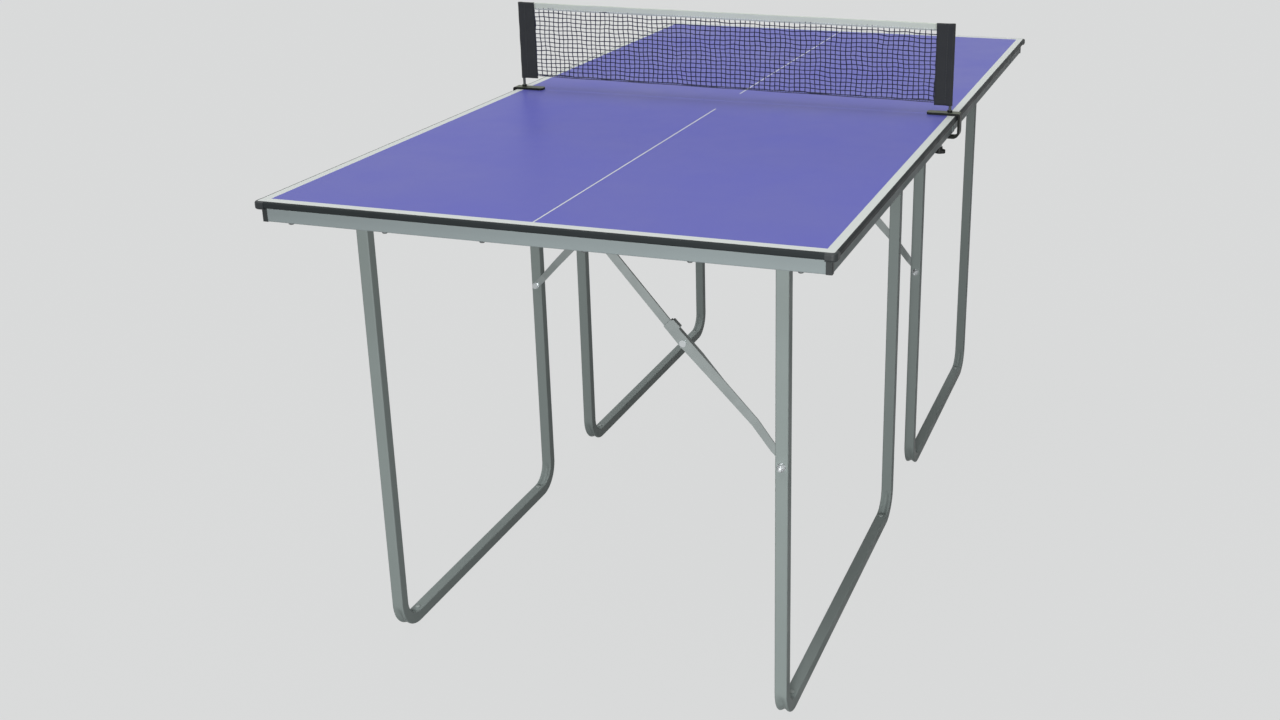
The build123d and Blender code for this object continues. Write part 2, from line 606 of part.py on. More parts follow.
def make_clamp_screw():
    """Clamp screw from the pad down into the knob."""
    top = RAIL_BOTTOM - CLAMP_CLEARANCE - PAD_THICK
    return rod_z(CLAMP_SCREW, SCREW_X, 0, top - CLAMP_SCREW_LENGTH, top)


def make_clamp_knob():
    """Wing knob moulded round the lower end of the screw."""
    tip = RAIL_BOTTOM - CLAMP_CLEARANCE - PAD_THICK - CLAMP_SCREW_LENGTH
    high = tip + KNOB_HEIGHT / 2
    low = high - KNOB_HEIGHT
    wing_top = low + KNOB_HEIGHT * 0.6
    wing = SlotOverall(KNOB_WING, KNOB_DEPTH)
    knob = Pos(SCREW_X, 0, low) * extrude(wing, wing_top - low)
    knob = chamfer(knob.edges().group_by(Axis.Z)[0] + knob.edges().group_by(Axis.Z)[-1], KNOB_DEPTH / 8)
    hub = Pos(SCREW_X, 0, low) * Cone(KNOB_HUB / 2, CLAMP_SCREW / 2 + TUBE_WALL, KNOB_HEIGHT,
                                      align=(Align.CENTER, Align.CENTER, Align.MIN))
    return knob + hub - rod_z(CLAMP_SCREW + 2 * SCREW_CLEARANCE, SCREW_X, 0, tip, high + KNOB_HEIGHT)


def make_sleeve():
    """Right-hand end sleeve of the net, stitched round the post."""
    low = NET_LOW - HEM_HEIGHT / 2
    flat = Pos((SLEEVE_INNER_X + POST_X) / 2, 0) * Rectangle(POST_X - SLEEVE_INNER_X, SLEEVE_THICK)
    face = flat + Pos(POST_X, 0) * Circle(SLEEVE_ROUND)
    face -= Pos(POST_X, 0) * Circle(POST_DIAMETER / 2 + POST_IN_SLEEVE)
    return Pos(0, 0, low) * extrude(face, NET_HIGH - low)


def net_wire(x0, x1, z0, z1):
    """A rectangle in the plane of the net."""
    return Wire.make_polygon([(x0, 0, z0), (x1, 0, z0), (x1, 0, z1), (x0, 0, z1)], close=True)


def make_net():
    """Net: one face with rows and columns of gaps, between the hem and the tape."""
    high = NET_HIGH - TAPE_HEIGHT
    low = NET_LOW + HEM_HEIGHT
    step_x = 2 * SLEEVE_INNER_X / NET_COLUMNS
    step_z = (high - low) / NET_ROWS
    edge = NET_STRAND / 2
    gaps = []
    for column in range(NET_COLUMNS):
        x = column * step_x - SLEEVE_INNER_X
        for row in range(NET_ROWS):
            z = low + row * step_z
            gaps.append(net_wire(x + edge, x + step_x - edge, z + edge, z + step_z - edge))
    face = Face(net_wire(-SLEEVE_INNER_X, SLEEVE_INNER_X, low, high), gaps)
    return extrude(face, NET_THICK / 2, both=True)


def net_band(low, height, thick):
    """A doubled strip sewn along the whole net, with its folded edge rounded."""
    strip = block(-SLEEVE_INNER_X, SLEEVE_INNER_X, -thick / 2, thick / 2, low, low + height)
    return fillet(strip.edges().filter_by(Axis.X), thick / 3)


def make_net_set():
    """All the nodes of the net and its two clamps, by name."""
    post = rod_z(POST_DIAMETER, POST_X, 0, POST_FOOT_Z, NET_HIGH)
    right = {
        "clamp": make_clamp(),
        "clamp_pad": make_clamp_pad(),
        "clamp_screw": make_clamp_screw(),
        "clamp_knob": make_clamp_knob(),
    }
    nodes = {
        "net": [make_net()],
        "net_top_tape": [net_band(NET_HIGH - TAPE_HEIGHT, TAPE_HEIGHT, TAPE_THICK)],
        "net_bottom_hem": [net_band(NET_LOW, HEM_HEIGHT, HEM_THICK)],
        "net_posts": [post, FAR_TURN * post],
        "net_sleeves": [make_sleeve(), FAR_TURN * make_sleeve()],
    }
    for name, solid in right.items():
        nodes["right_" + name] = [solid]
        nodes["left_" + name] = [FAR_TURN * solid]
    return nodes


def export_node(name, shapes):
    """Write one node as a STEP file of its separate solids."""
    solids = [solid for shape in shapes for solid in shape.solids()]
    shape = solids[0] if len(solids) == 1 else Compound(children=solids)
    export_step(shape, os.path.join("parts", name + ".step"))


def main():
    """Build the two halves and the net set, and write every node."""
    os.makedirs("parts", exist_ok=True)
    for name, shapes in make_half().items():
        export_node("near_" + name, shapes)
        export_node("far_" + name, [FAR_TURN * shape for shape in shapes])
    for name, shapes in make_net_set().items():
        export_node(name, shapes)


main()
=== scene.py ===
"""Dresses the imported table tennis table: painted boards, coated tube, plated braces and a soft net."""

import logging
import math
from dataclasses import dataclass
from enum import Enum
from typing import Callable, Iterable, Sequence

import bmesh
import bpy
from mathutils import Matrix, Vector


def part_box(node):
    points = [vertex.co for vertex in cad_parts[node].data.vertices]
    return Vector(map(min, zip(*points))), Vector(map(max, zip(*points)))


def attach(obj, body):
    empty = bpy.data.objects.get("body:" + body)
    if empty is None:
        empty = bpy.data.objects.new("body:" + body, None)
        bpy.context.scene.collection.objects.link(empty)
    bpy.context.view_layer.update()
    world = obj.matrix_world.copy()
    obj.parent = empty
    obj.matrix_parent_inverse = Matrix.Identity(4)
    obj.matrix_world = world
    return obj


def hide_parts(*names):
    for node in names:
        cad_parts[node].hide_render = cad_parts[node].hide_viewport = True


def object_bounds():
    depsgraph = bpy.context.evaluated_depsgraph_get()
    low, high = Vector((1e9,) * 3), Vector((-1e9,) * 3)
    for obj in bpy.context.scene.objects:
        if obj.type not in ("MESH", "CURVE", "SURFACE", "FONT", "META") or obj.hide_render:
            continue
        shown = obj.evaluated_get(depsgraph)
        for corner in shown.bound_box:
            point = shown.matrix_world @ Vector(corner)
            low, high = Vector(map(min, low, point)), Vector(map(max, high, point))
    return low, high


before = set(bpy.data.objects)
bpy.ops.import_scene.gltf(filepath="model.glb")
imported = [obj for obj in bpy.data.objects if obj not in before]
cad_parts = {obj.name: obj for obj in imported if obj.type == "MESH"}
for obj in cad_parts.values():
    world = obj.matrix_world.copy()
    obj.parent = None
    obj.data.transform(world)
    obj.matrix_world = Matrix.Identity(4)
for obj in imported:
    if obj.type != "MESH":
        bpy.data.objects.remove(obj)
CAD_LOW, CAD_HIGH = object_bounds()

LOG = logging.getLogger("table")
# Corners closer than this, in metres, are one
MERGE = 0.000002
# Edges that turn by more than this, in radians, stay sharp
SHARP = 0.6
# The height that parts the rivets on a leg's foot bar from the bolt end on its post
FOOT_TOP = 0.1
Point = tuple[float, float, float]
Colour = tuple[float, float, float, float]


class Half(Enum):
    """The two half tables, with the sign of their Y."""

    NEAR = -1
    FAR = 1


class Side(Enum):
    """The two ends of the net, with the sign of their X."""

    LEFT = -1
    RIGHT = 1


class Face(Enum):
    """The two faces of the net, with the sign of their Y."""

    FRONT = -1
    BACK = 1


class Leg(Enum):
    """The two legs of each half."""

    WIDE = "wide"
    NARROW = "narrow"


def linear(red: int, green: int, blue: int) -> Colour:
    """Turn a colour on the 0 to 255 display scale into linear light.

    Args:
        red: display red.
        green: display green.
        blue: display blue.

    Returns:
        The linear colour with full alpha.
    """

    def one(value: int) -> float:
        """One channel."""
        share = value / 255
        return share / 12.92 if share <= 0.04045 else ((share + 0.055) / 1.055) ** 2.4

    return (one(red), one(green), one(blue), 1.0)


def scaled(colour: Colour, factor: float) -> Colour:
    """A colour made lighter or darker.

    Args:
        colour: linear colour.
        factor: what each channel is multiplied by.

    Returns:
        The new colour, kept within 0 to 1.
    """
    return (*(min(1.0, channel * factor) for channel in colour[:3]), 1.0)


class NodeSheet:
    """A node tree with short calls to add and join its nodes."""

    def __init__(self, tree: bpy.types.NodeTree) -> None:
        """Keep the tree."""
        self.tree = tree

    def add(self, kind: str, settings: dict | None = None, **inputs: object) -> bpy.types.Node:
        """Add one node.

        Args:
            kind: the node's type name.
            settings: properties of the node.
            inputs: values for its input sockets, with spaces written as underscores.

        Returns:
            The new node.
        """
        node = self.tree.nodes.new(kind)
        for key, value in (settings or {}).items():
            setattr(node, key, value)
        for key, value in inputs.items():
            self.put(value, node.inputs[key.replace("_", " ")])
        return node

    def declare(self, way: str, sockets: Iterable[tuple[str, str]]) -> None:
        """Give a group its named sockets.

        Args:
            way: INPUT or OUTPUT.
            sockets: their names and types.
        """
        for label, kind in sockets:
            self.tree.interface.new_socket(label, in_out=way, socket_type=kind)

    def put(self, value: object, socket: bpy.types.NodeSocket) -> None:
        """Join an output to a socket, or set the socket's own value.

        Args:
            value: an output socket or a plain value.
            socket: the input socket.
        """
        if isinstance(value, bpy.types.NodeSocket):
            self.tree.links.new(value, socket)
        else:
            socket.default_value = value

    def math(self, operation: str, first: object, second: object = 0.0) -> bpy.types.NodeSocket:
        """Add a math node.

        Args:
            operation: Blender's name of the operation.
            first: first value or socket.
            second: second value or socket.

        Returns:
            The node's output socket.
        """
        node = self.tree.nodes.new("ShaderNodeMath")
        node.operation = operation
        self.put(first, node.inputs[0])
        self.put(second, node.inputs[1])
        return node.outputs[0]

    def mix(self, factor: object, first: object, second: object) -> bpy.types.NodeSocket:
        """Add a colour mix.

        Args:
            factor: share of the second colour.
            first: first colour or socket.
            second: second colour or socket.

        Returns:
            The mixed colour's socket.
        """
        node = self.tree.nodes.new("ShaderNodeMix")
        node.data_type = "RGBA"
        self.put(factor, node.inputs["Factor"])
        colours = [s for s in node.inputs if s.type == "RGBA"]
        self.put(first, colours[0])
        self.put(second, colours[1])
        return next(s for s in node.outputs if s.type == "RGBA")


@dataclass(frozen=True)
class Finish:
    """A coated, plated or moulded finish.

    Sizes of the pattern are counts per metre; the bump is in metres.
    """

    name: str
    colour: Colour
    roughness: float
    metallic: float = 0.0
    mottle: float = 0.06
    mottle_scale: float = 14.0
    grain_scale: float = 900.0
    grain_height: float = 0.00006
    rough_spread: float = 0.08
    shine: float = 0.5
    # Colour mixed into upward faces: a painted sheen, the top lit lighter than the sides
    painted_sheen: Colour | None = None


@dataclass(frozen=True)
class Cloth:
    """A woven finish laid out on the piece's own UV map, which is in metres."""

    name: str
    colour: Colour
    roughness: float
    threads: float
    thread_height: float
    sheen: float
    mottle: float = 0.1
    mottle_scale: float = 30.0
    grain_scale: float = 1500.0


@dataclass(frozen=True)
class BoardPaint:
    """The playing board: paint and lines on top, bare fibreboard elsewhere."""

    name: str = "board_paint"
    paint: Colour = linear(94, 96, 176)
    line: Colour = linear(206, 211, 208)
    fibre: Colour = linear(142, 118, 90)
    fibre_dark: Colour = linear(112, 90, 66)
    roughness: float = 0.38
    rough_spread: float = 0.05
    bare_roughness: float = 0.45
    shine: float = 0.10
    mottle: float = 0.05
    mottle_scale: float = 5.0
    grain_scale: float = 1100.0
    grain_height: float = 0.00005
    line_height: float = 0.6
    inner_x: float = 0.407
    inner_y: float = 0.8245
    centre: float = 0.0012
    centre_end: float = 0.07
    top_z: float = 0.7595


class Finishes:
    """Builds the shared shader groups once, and each material from its finish."""

    RUB_SCALE = 5.0
    RUB_TONE = 1.5
    ROUGHEST = 1.0
    SMOOTHEST = 0.05
    # How much of the painted sheen the upward faces take
    PAINTED_SHEEN_COVER = 0.85
    THREAD_GAP = 0.25
    # How dark the gaps between threads are painted: painted shade
    GAP_SHADE = 0.45
    GAP_COVER = 0.45
    FUZZ = 0.3

    def __init__(self) -> None:
        """Make the groups."""
        self.made: dict[str, bpy.types.Material] = {}
        self.grain = self._grain_group()
        self.weave = self._weave_group()

    @staticmethod
    def _group(name: str, inputs: Sequence[tuple[str, str]], outputs: Sequence[tuple[str, str]]) -> NodeSheet:
        """Make an empty shader group.

        Args:
            name: the group's name.
            inputs: its input names and socket types.
            outputs: its output names and socket types.

        Returns:
            The sheet of the group's tree.
        """
        sheet = NodeSheet(bpy.data.node_groups.new(name, "ShaderNodeTree"))
        sheet.declare("INPUT", inputs)
        sheet.declare("OUTPUT", outputs)
        return sheet

    def _grain_group(self) -> bpy.types.NodeTree:
        """Make the group of fine grain, broad mottle and scattered rub marks.

        Returns:
            The group's tree.
        """
        number = "NodeSocketFloat"
        sheet = self._group(
            "surface_grain",
            [("Vector", "NodeSocketVector"), ("Grain Scale", number), ("Mottle Scale", number)],
            [("Grain", number), ("Mottle", number), ("Rub", number)],
        )
        given = sheet.add("NodeGroupInput").outputs
        out = sheet.add("NodeGroupOutput")

        def noise(scale: object, **settings: float) -> bpy.types.NodeSocket:
            """One noise over the given coordinates."""
            made = sheet.add("ShaderNodeTexNoise", Vector=given["Vector"], Scale=scale, **settings)
            return made.outputs["Fac"]

        spots_scale = sheet.math("MULTIPLY", given["Mottle Scale"], self.RUB_SCALE)
        spots = noise(spots_scale, Detail=6.0, Roughness=0.7)
        rub = sheet.add("ShaderNodeMapRange", Value=spots, From_Min=0.60, From_Max=0.74)
        sheet.put(noise(given["Grain Scale"], Detail=3.0), out.inputs["Grain"])
        sheet.put(noise(given["Mottle Scale"], Detail=4.0, Roughness=0.6), out.inputs["Mottle"])
        sheet.put(rub.outputs["Result"], out.inputs["Rub"])
        return sheet.tree

    def _weave_group(self) -> bpy.types.NodeTree:
        """Make the group of a plain weave on a UV map in metres.

        Returns:
            The group's tree.
        """
        number = "NodeSocketFloat"
        sheet = self._group(
            "plain_weave",
            [("Vector", "NodeSocketVector"), ("Threads", number)],
            [("Height", number), ("Gap", number)],
        )
        given = sheet.add("NodeGroupInput").outputs
        out = sheet.add("NodeGroupOutput")
        parts = sheet.add("ShaderNodeSeparateXYZ", Vector=given["Vector"]).outputs
        turn = sheet.math("MULTIPLY", given["Threads"], math.pi)
        waves = []
        for axis in ("X", "Y"):
            angle = sheet.math("MULTIPLY", parts[axis], turn)
            waves.append(sheet.math("SINE", angle))
        over = sheet.math("MULTIPLY", waves[0], waves[1])
        height = sheet.math("ABSOLUTE", over)
        gap = sheet.add("ShaderNodeMapRange", Value=height, From_Max=self.THREAD_GAP, To_Min=1.0, To_Max=0.0)
        sheet.put(height, out.inputs["Height"])
        sheet.put(gap.outputs["Result"], out.inputs["Gap"])
        return sheet.tree

    @staticmethod
    def _new(name: str) -> tuple[bpy.types.Material, NodeSheet, bpy.types.Node]:
        """Start a material.

        Args:
            name: the material's name.

        Returns:
            The material, its sheet and its Principled shader.
        """
        material = bpy.data.materials.new(name)
        material.use_nodes = True
        sheet = NodeSheet(material.node_tree)
        return material, sheet, material.node_tree.nodes["Principled BSDF"]

    def of(self, finish: Finish | Cloth | BoardPaint) -> bpy.types.Material:
        """The material of a finish, made once.

        Args:
            finish: what it looks like.

        Returns:
            The material.
        """
        makers = {Finish: self._coat, Cloth: self._cloth, BoardPaint: self._board}
        if finish.name not in self.made:
            self.made[finish.name] = makers[type(finish)](finish)
        return self.made[finish.name]

    def _grained(
        self, sheet: NodeSheet, finish: Finish | Cloth | BoardPaint
    ) -> tuple[bpy.types.NodeSocket, bpy.types.NodeOutputs]:
        """Lay the grain group on a piece's own coordinates.

        Args:
            sheet: the material's tree.
            finish: what it looks like.

        Returns:
            The coordinates and the group's outputs.
        """
        place = sheet.add("ShaderNodeTexCoord").outputs["Object"]
        grain = sheet.add(
            "ShaderNodeGroup",
            {"node_tree": self.grain},
            Vector=place,
            Grain_Scale=finish.grain_scale,
            Mottle_Scale=finish.mottle_scale,
        )
        return place, grain.outputs

    @staticmethod
    def _mottled(sheet: NodeSheet, share: object, colour: Colour, spread: float) -> bpy.types.NodeSocket:
        """A colour that drifts darker and lighter by the same spread."""
        return sheet.mix(share, scaled(colour, 1 - spread), scaled(colour, 1 + spread))

    def _uneven(self, sheet: NodeSheet, share: object, middle: float, spread: float) -> bpy.types.NodeSocket:
        """A roughness that drifts about its middle value.

        Args:
            sheet: the material's tree.
            share: the pattern that it follows.
            middle: its middle value.
            spread: how far it drifts either way.

        Returns:
            The roughness.
        """
        drift = sheet.add(
            "ShaderNodeMapRange",
            Value=share,
            From_Min=0.3,
            From_Max=0.7,
            To_Min=max(self.SMOOTHEST, middle - spread),
            To_Max=min(self.ROUGHEST, middle + spread),
        )
        return drift.outputs["Result"]

    @staticmethod
    def _bump(
        sheet: NodeSheet, shader: bpy.types.Node, height: object, distance: float, strength: float
    ) -> None:
        """Let a pattern of heights turn the shader's normal."""
        bump = sheet.add("ShaderNodeBump", Height=height, Distance=distance, Strength=strength)
        sheet.put(bump.outputs["Normal"], shader.inputs["Normal"])

    def _coat(self, finish: Finish) -> bpy.types.Material:
        """Make the material of a coated, plated or moulded finish.

        Args:
            finish: what it looks like.

        Returns:
            The material.
        """
        material, sheet, shader = self._new(finish.name)
        grain = self._grained(sheet, finish)[1]
        tone = self._mottled(sheet, grain["Mottle"], finish.colour, finish.mottle)
        worn = sheet.math("MULTIPLY", grain["Rub"], finish.mottle)
        tone = sheet.mix(worn, tone, scaled(finish.colour, self.RUB_TONE))
        # Upward faces turn towards a lighter colour: a painted sheen where the light from above falls
        if finish.painted_sheen:
            facing = sheet.add("ShaderNodeNewGeometry").outputs["Normal"]
            upward = sheet.add("ShaderNodeSeparateXYZ", Vector=facing).outputs["Z"]
            sheen_share = sheet.add("ShaderNodeMapRange", Value=upward, From_Min=0.6, From_Max=0.95)
            sheen_share.inputs["To Max"].default_value = self.PAINTED_SHEEN_COVER
            tone = sheet.mix(sheen_share.outputs["Result"], tone, finish.painted_sheen)
        sheet.put(tone, shader.inputs["Base Color"])
        rough = self._uneven(sheet, grain["Mottle"], finish.roughness, finish.rough_spread)
        sheet.put(rough, shader.inputs["Roughness"])
        shader.inputs["Metallic"].default_value = finish.metallic
        shader.inputs["Specular IOR Level"].default_value = finish.shine
        self._bump(sheet, shader, grain["Grain"], finish.grain_height, 0.6)
        return material

    def _cloth(self, finish: Cloth) -> bpy.types.Material:
        """Make the material of a woven piece.

        Args:
            finish: what it looks like.

        Returns:
            The material.
        """
        material, sheet, shader = self._new(finish.name)
        uv = sheet.add("ShaderNodeUVMap", {"uv_map": "cloth"}).outputs["UV"]
        woven = sheet.add("ShaderNodeGroup", {"node_tree": self.weave}, Vector=uv, Threads=finish.threads)
        weave = woven.outputs
        grain = self._grained(sheet, finish)[1]
        tone = self._mottled(sheet, grain["Mottle"], finish.colour, finish.mottle)
        # The gaps between threads are darkened: painted shade
        gap_shade = sheet.math("MULTIPLY", weave["Gap"], self.GAP_COVER)
        tone = sheet.mix(gap_shade, tone, scaled(finish.colour, self.GAP_SHADE))
        sheet.put(tone, shader.inputs["Base Color"])
        shader.inputs["Roughness"].default_value = finish.roughness
        shader.inputs["Sheen Weight"].default_value = finish.sheen
        lift = sheet.math("ADD", weave["Height"], sheet.math("MULTIPLY", grain["Grain"], self.FUZZ))
        self._bump(sheet, shader, lift, finish.thread_height, 0.8)
        return material

    def _board(self, paint: BoardPaint) -> bpy.types.Material:
        """Make the material of a playing board, with its lines.

        Args:
            paint: what it looks like.

        Returns:
            The material.
        """
        material, sheet, shader = self._new(paint.name)
        place, grain = self._grained(sheet, paint)
        parts = sheet.add("ShaderNodeSeparateXYZ", Vector=place).outputs
        across = sheet.math("ABSOLUTE", parts["X"])
        along = sheet.math("ABSOLUTE", parts["Y"])
        sides = sheet.math("GREATER_THAN", across, paint.inner_x)
        ends = sheet.math("GREATER_THAN", along, paint.inner_y)
        middle = sheet.math("LESS_THAN", across, paint.centre)
        middle = sheet.math("MULTIPLY", middle, sheet.math("GREATER_THAN", along, paint.centre_end))
        lines = sheet.math("MAXIMUM", sheet.math("MAXIMUM", sides, ends), middle)
        top = sheet.math("GREATER_THAN", parts["Z"], paint.top_z)
        painted = self._mottled(sheet, grain["Mottle"], paint.paint, paint.mottle)
        lined = sheet.mix(lines, painted, paint.line)
        fibres = sheet.add("ShaderNodeTexNoise", Vector=place, Scale=260.0, Detail=8.0, Roughness=0.75)
        bare = sheet.mix(fibres.outputs["Fac"], paint.fibre_dark, paint.fibre)
        sheet.put(sheet.mix(top, bare, lined), shader.inputs["Base Color"])
        gloss = self._uneven(sheet, grain["Mottle"], paint.roughness, paint.rough_spread)
        dull = sheet.math("MULTIPLY", sheet.math("SUBTRACT", 1.0, top), paint.bare_roughness)
        sheet.put(sheet.math("ADD", gloss, dull), shader.inputs["Roughness"])
        shader.inputs["Specular IOR Level"].default_value = paint.shine
        raised = sheet.math("ADD", grain["Grain"], sheet.math("MULTIPLY", lines, paint.line_height))
        self._bump(sheet, shader, raised, paint.grain_height, 0.5)
        return material


# After the colour: roughness, metallic, mottle and its scale, grain scale and height, spread of the roughness
RAIL_COAT = Finish("rail_coat", linear(131, 140, 141), 0.42, 0.0, 0.03, shine=0.05)
LEG_COAT = Finish("leg_coat", linear(129, 138, 136), 0.42, 0.0, 0.04, shine=0.05)
# The rivets wear the leg coat painted lighter: a painted highlight at the feet
RIVET_LIT_COAT = Finish("rivet_lit_coat", linear(144, 152, 150), 0.36, 0.0, 0.04, shine=0.25)
LINK_ZINC = Finish("link_zinc", linear(139, 146, 145), 0.40, 0.40, 0.04, 40.0, 700.0, 0.00003, 0.06)
BRACKET_ZINC = Finish("bracket_zinc", linear(128, 134, 133), 0.40, 0.45, 0.06, 40.0, 700.0, 0.00004, 0.08)
BRIGHT_ZINC = Finish("bright_zinc", linear(196, 201, 203), 0.26, 0.6, 0.06, 120.0, 1500.0, 0.00003, 0.06)
BAND_PLASTIC = Finish("band_plastic", linear(42, 46, 47), 0.42, 0.0, 0.08, 18.0, 1300.0, 0.00005, shine=0.04)
CAP_PLASTIC = Finish("cap_plastic", linear(40, 44, 45), 0.50, 0.0, 0.08, 60.0, 1600.0, 0.00010, shine=0.3)
# The clamp's painted sheen: its upward faces lighter, as if lit from above
CLAMP_PAINTED_SHEEN = linear(96, 102, 86)
CLAMP_COAT = Finish(
    "clamp_coat", linear(30, 33, 31), 0.42, 0.0, 0.08, 60.0, 1500.0, 0.00003, shine=0.1, painted_sheen=CLAMP_PAINTED_SHEEN
)
POST_COAT = Finish("post_coat", linear(58, 62, 62), 0.40, 0.2, 0.06, 60.0, 1500.0, 0.00005)
KNOB_PLASTIC = Finish("knob_plastic", linear(26, 29, 28), 0.50, 0.0, 0.10, 90.0, 1700.0, 0.00012, shine=0.2)
PAD_RUBBER = Finish("pad_rubber", linear(30, 31, 31), 0.80, 0.0, 0.10, 90.0, 1700.0, 0.00012)
SCREW_BLACK = Finish("screw_black", linear(84, 88, 88), 0.36, 0.3, 0.08, 120.0, 1500.0, 0.00004)
SCREW_ZINC = Finish("screw_zinc", linear(160, 163, 162), 0.34, 0.7, 0.08, 120.0, 1500.0, 0.00005)
NET_CORD = Finish("net_cord", linear(22, 25, 52), 0.80, 0.0, 0.12, 60.0, 2500.0, 0.00020)
STITCH_WHITE = Finish("stitch_white", linear(225, 228, 226), 0.75, 0.0, 0.06, 90.0, 2500.0, 0.00010)
STITCH_BLACK = Finish("stitch_black", linear(60, 64, 64), 0.75, 0.0, 0.06, 90.0, 2500.0, 0.00010)
# After the colour: roughness, threads per metre, height of a thread, sheen, mottle
TAPE_CLOTH = Cloth("tape_cloth", linear(199, 207, 196), 0.75, 900.0, 0.00025, 0.3, 0.05)
SLEEVE_CLOTH = Cloth("sleeve_cloth", linear(27, 30, 33), 0.80, 700.0, 0.00030, 0.05, 0.10)
HEM_CLOTH = Cloth("hem_cloth", linear(54, 55, 76), 0.80, 900.0, 0.00025, 0.2, 0.10)


def dress(names: Iterable[str], material: bpy.types.Material) -> None:
    """Give a material to CAD nodes.

    Args:
        names: the nodes.
        material: what they are made of.
    """
    for name in names:
        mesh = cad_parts[name].data
        mesh.materials.clear()
        mesh.materials.append(material)
        LOG.info("dressed %s in %s", name, material.name)


def linked(name: str, data: bpy.types.ID) -> bpy.types.Object:
    """Put a new object in the scene, at the origin.

    Args:
        name: its name.
        data: its mesh, lamp or camera.

    Returns:
        The object.
    """
    made = bpy.data.objects.new(name, data)
    bpy.context.scene.collection.objects.link(made)
    return made


def baked(piece: bpy.types.Object) -> bpy.types.Mesh:
    """The plain mesh that an object's modifiers make."""
    graph = bpy.context.evaluated_depsgraph_get()
    return bpy.data.meshes.new_from_object(piece.evaluated_get(graph), depsgraph=graph)


def mesh_object(name: str, work: bmesh.types.BMesh, material: bpy.types.Material) -> bpy.types.Object:
    """Turn a worked mesh into a smoothly shaded object at the origin.

    Args:
        name: the object's name.
        work: the mesh, freed afterwards.
        material: what it is made of.

    Returns:
        The new object.
    """
    mesh = bpy.data.meshes.new(name)
    work.to_mesh(mesh)
    work.free()
    mesh.materials.append(material)
    for face in mesh.polygons:
        face.use_smooth = True
    return linked(name, mesh)


def loft(
    name: str, rings: Sequence[Sequence[Point]], material: bpy.types.Material, lengths: Sequence[float]
) -> bpy.types.Object:
    """Skin closed rings of points into a capped solid with a UV map in metres.

    Args:
        name: the object's name.
        rings: the rings, each with as many points.
        material: what it is made of.
        lengths: the distance of each ring along the piece.

    Returns:
        The new object.
    """
    work = bmesh.new()
    layer = work.loops.layers.uv.new("cloth")
    grid = [[work.verts.new(point) for point in ring] for ring in rings]
    count = len(rings[0])
    girth = [0.0]
    for i in range(count):
        girth.append(girth[-1] + (Vector(rings[0][(i + 1) % count]) - Vector(rings[0][i])).length)
    for i in range(len(rings) - 1):
        for j in range(count):
            k = (j + 1) % count
            face = work.faces.new((grid[i][j], grid[i][k], grid[i + 1][k], grid[i + 1][j]))
            spots = ((i, j), (i, j + 1), (i + 1, j + 1), (i + 1, j))
            for loop, (row, column) in zip(face.loops, spots):
                loop[layer].uv = (lengths[row], girth[column])
    for ring in (grid[0], grid[-1]):
        face = work.faces.new(ring)
        for loop in face.loops:
            loop[layer].uv = (loop.vert.co.x + loop.vert.co.y, loop.vert.co.z)
    bmesh.ops.recalc_face_normals(work, faces=work.faces)
    return mesh_object(name, work, material)


def keep(piece: bpy.types.Object, body: str, slot: str, *nodes: str) -> bpy.types.Object:
    """Let a piece ride on a body, and hide the nodes it stands for.

    Args:
        piece: the finished piece.
        body: the CAD body that carries it.
        slot: not used.
        nodes: the CAD nodes that it replaces.

    Returns:
        The piece.
    """
    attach(piece, body)
    if nodes:
        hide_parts(*nodes)
    LOG.info("made %s with %d faces", piece.name, len(piece.data.polygons))
    return piece


def copy_of(node: str) -> bmesh.types.BMesh:
    """Copy a CAD node's mesh to work on, with the corners of its triangles joined.

    Args:
        node: the CAD node.

    Returns:
        The copy.
    """
    work = bmesh.new()
    work.from_mesh(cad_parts[node].data)
    bmesh.ops.remove_doubles(work, verts=work.verts, dist=MERGE)
    return work


def even_shading(piece: bpy.types.Object) -> bpy.types.Object:
    """Shade a copied solid smooth between its sharp edges, with its flat faces kept flat.

    Args:
        piece: the copy.

    Returns:
        The same piece, with the shading in its mesh.
    """
    piece.data.set_sharp_from_angle(angle=SHARP)
    modifier = piece.modifiers.new("flat_faces", "WEIGHTED_NORMAL")
    modifier.keep_sharp = True
    shaded = baked(piece)
    piece.modifiers.remove(modifier)
    piece.data = shaded
    return piece


def between(node: str, name: str, low: float, high: float, material: bpy.types.Material) -> bpy.types.Object:
    """Copy the solids of a CAD node that lie between two heights.

    Args:
        node: the CAD node.
        name: the copy's name.
        low: the lower height.
        high: the upper height.
        material: what the copy is made of.

    Returns:
        The copy.
    """
    work = copy_of(node)
    outside = [vert for vert in work.verts if not low <= vert.co.z <= high]
    bmesh.ops.delete(work, geom=outside, context="VERTS")
    return even_shading(mesh_object(name, work, material))


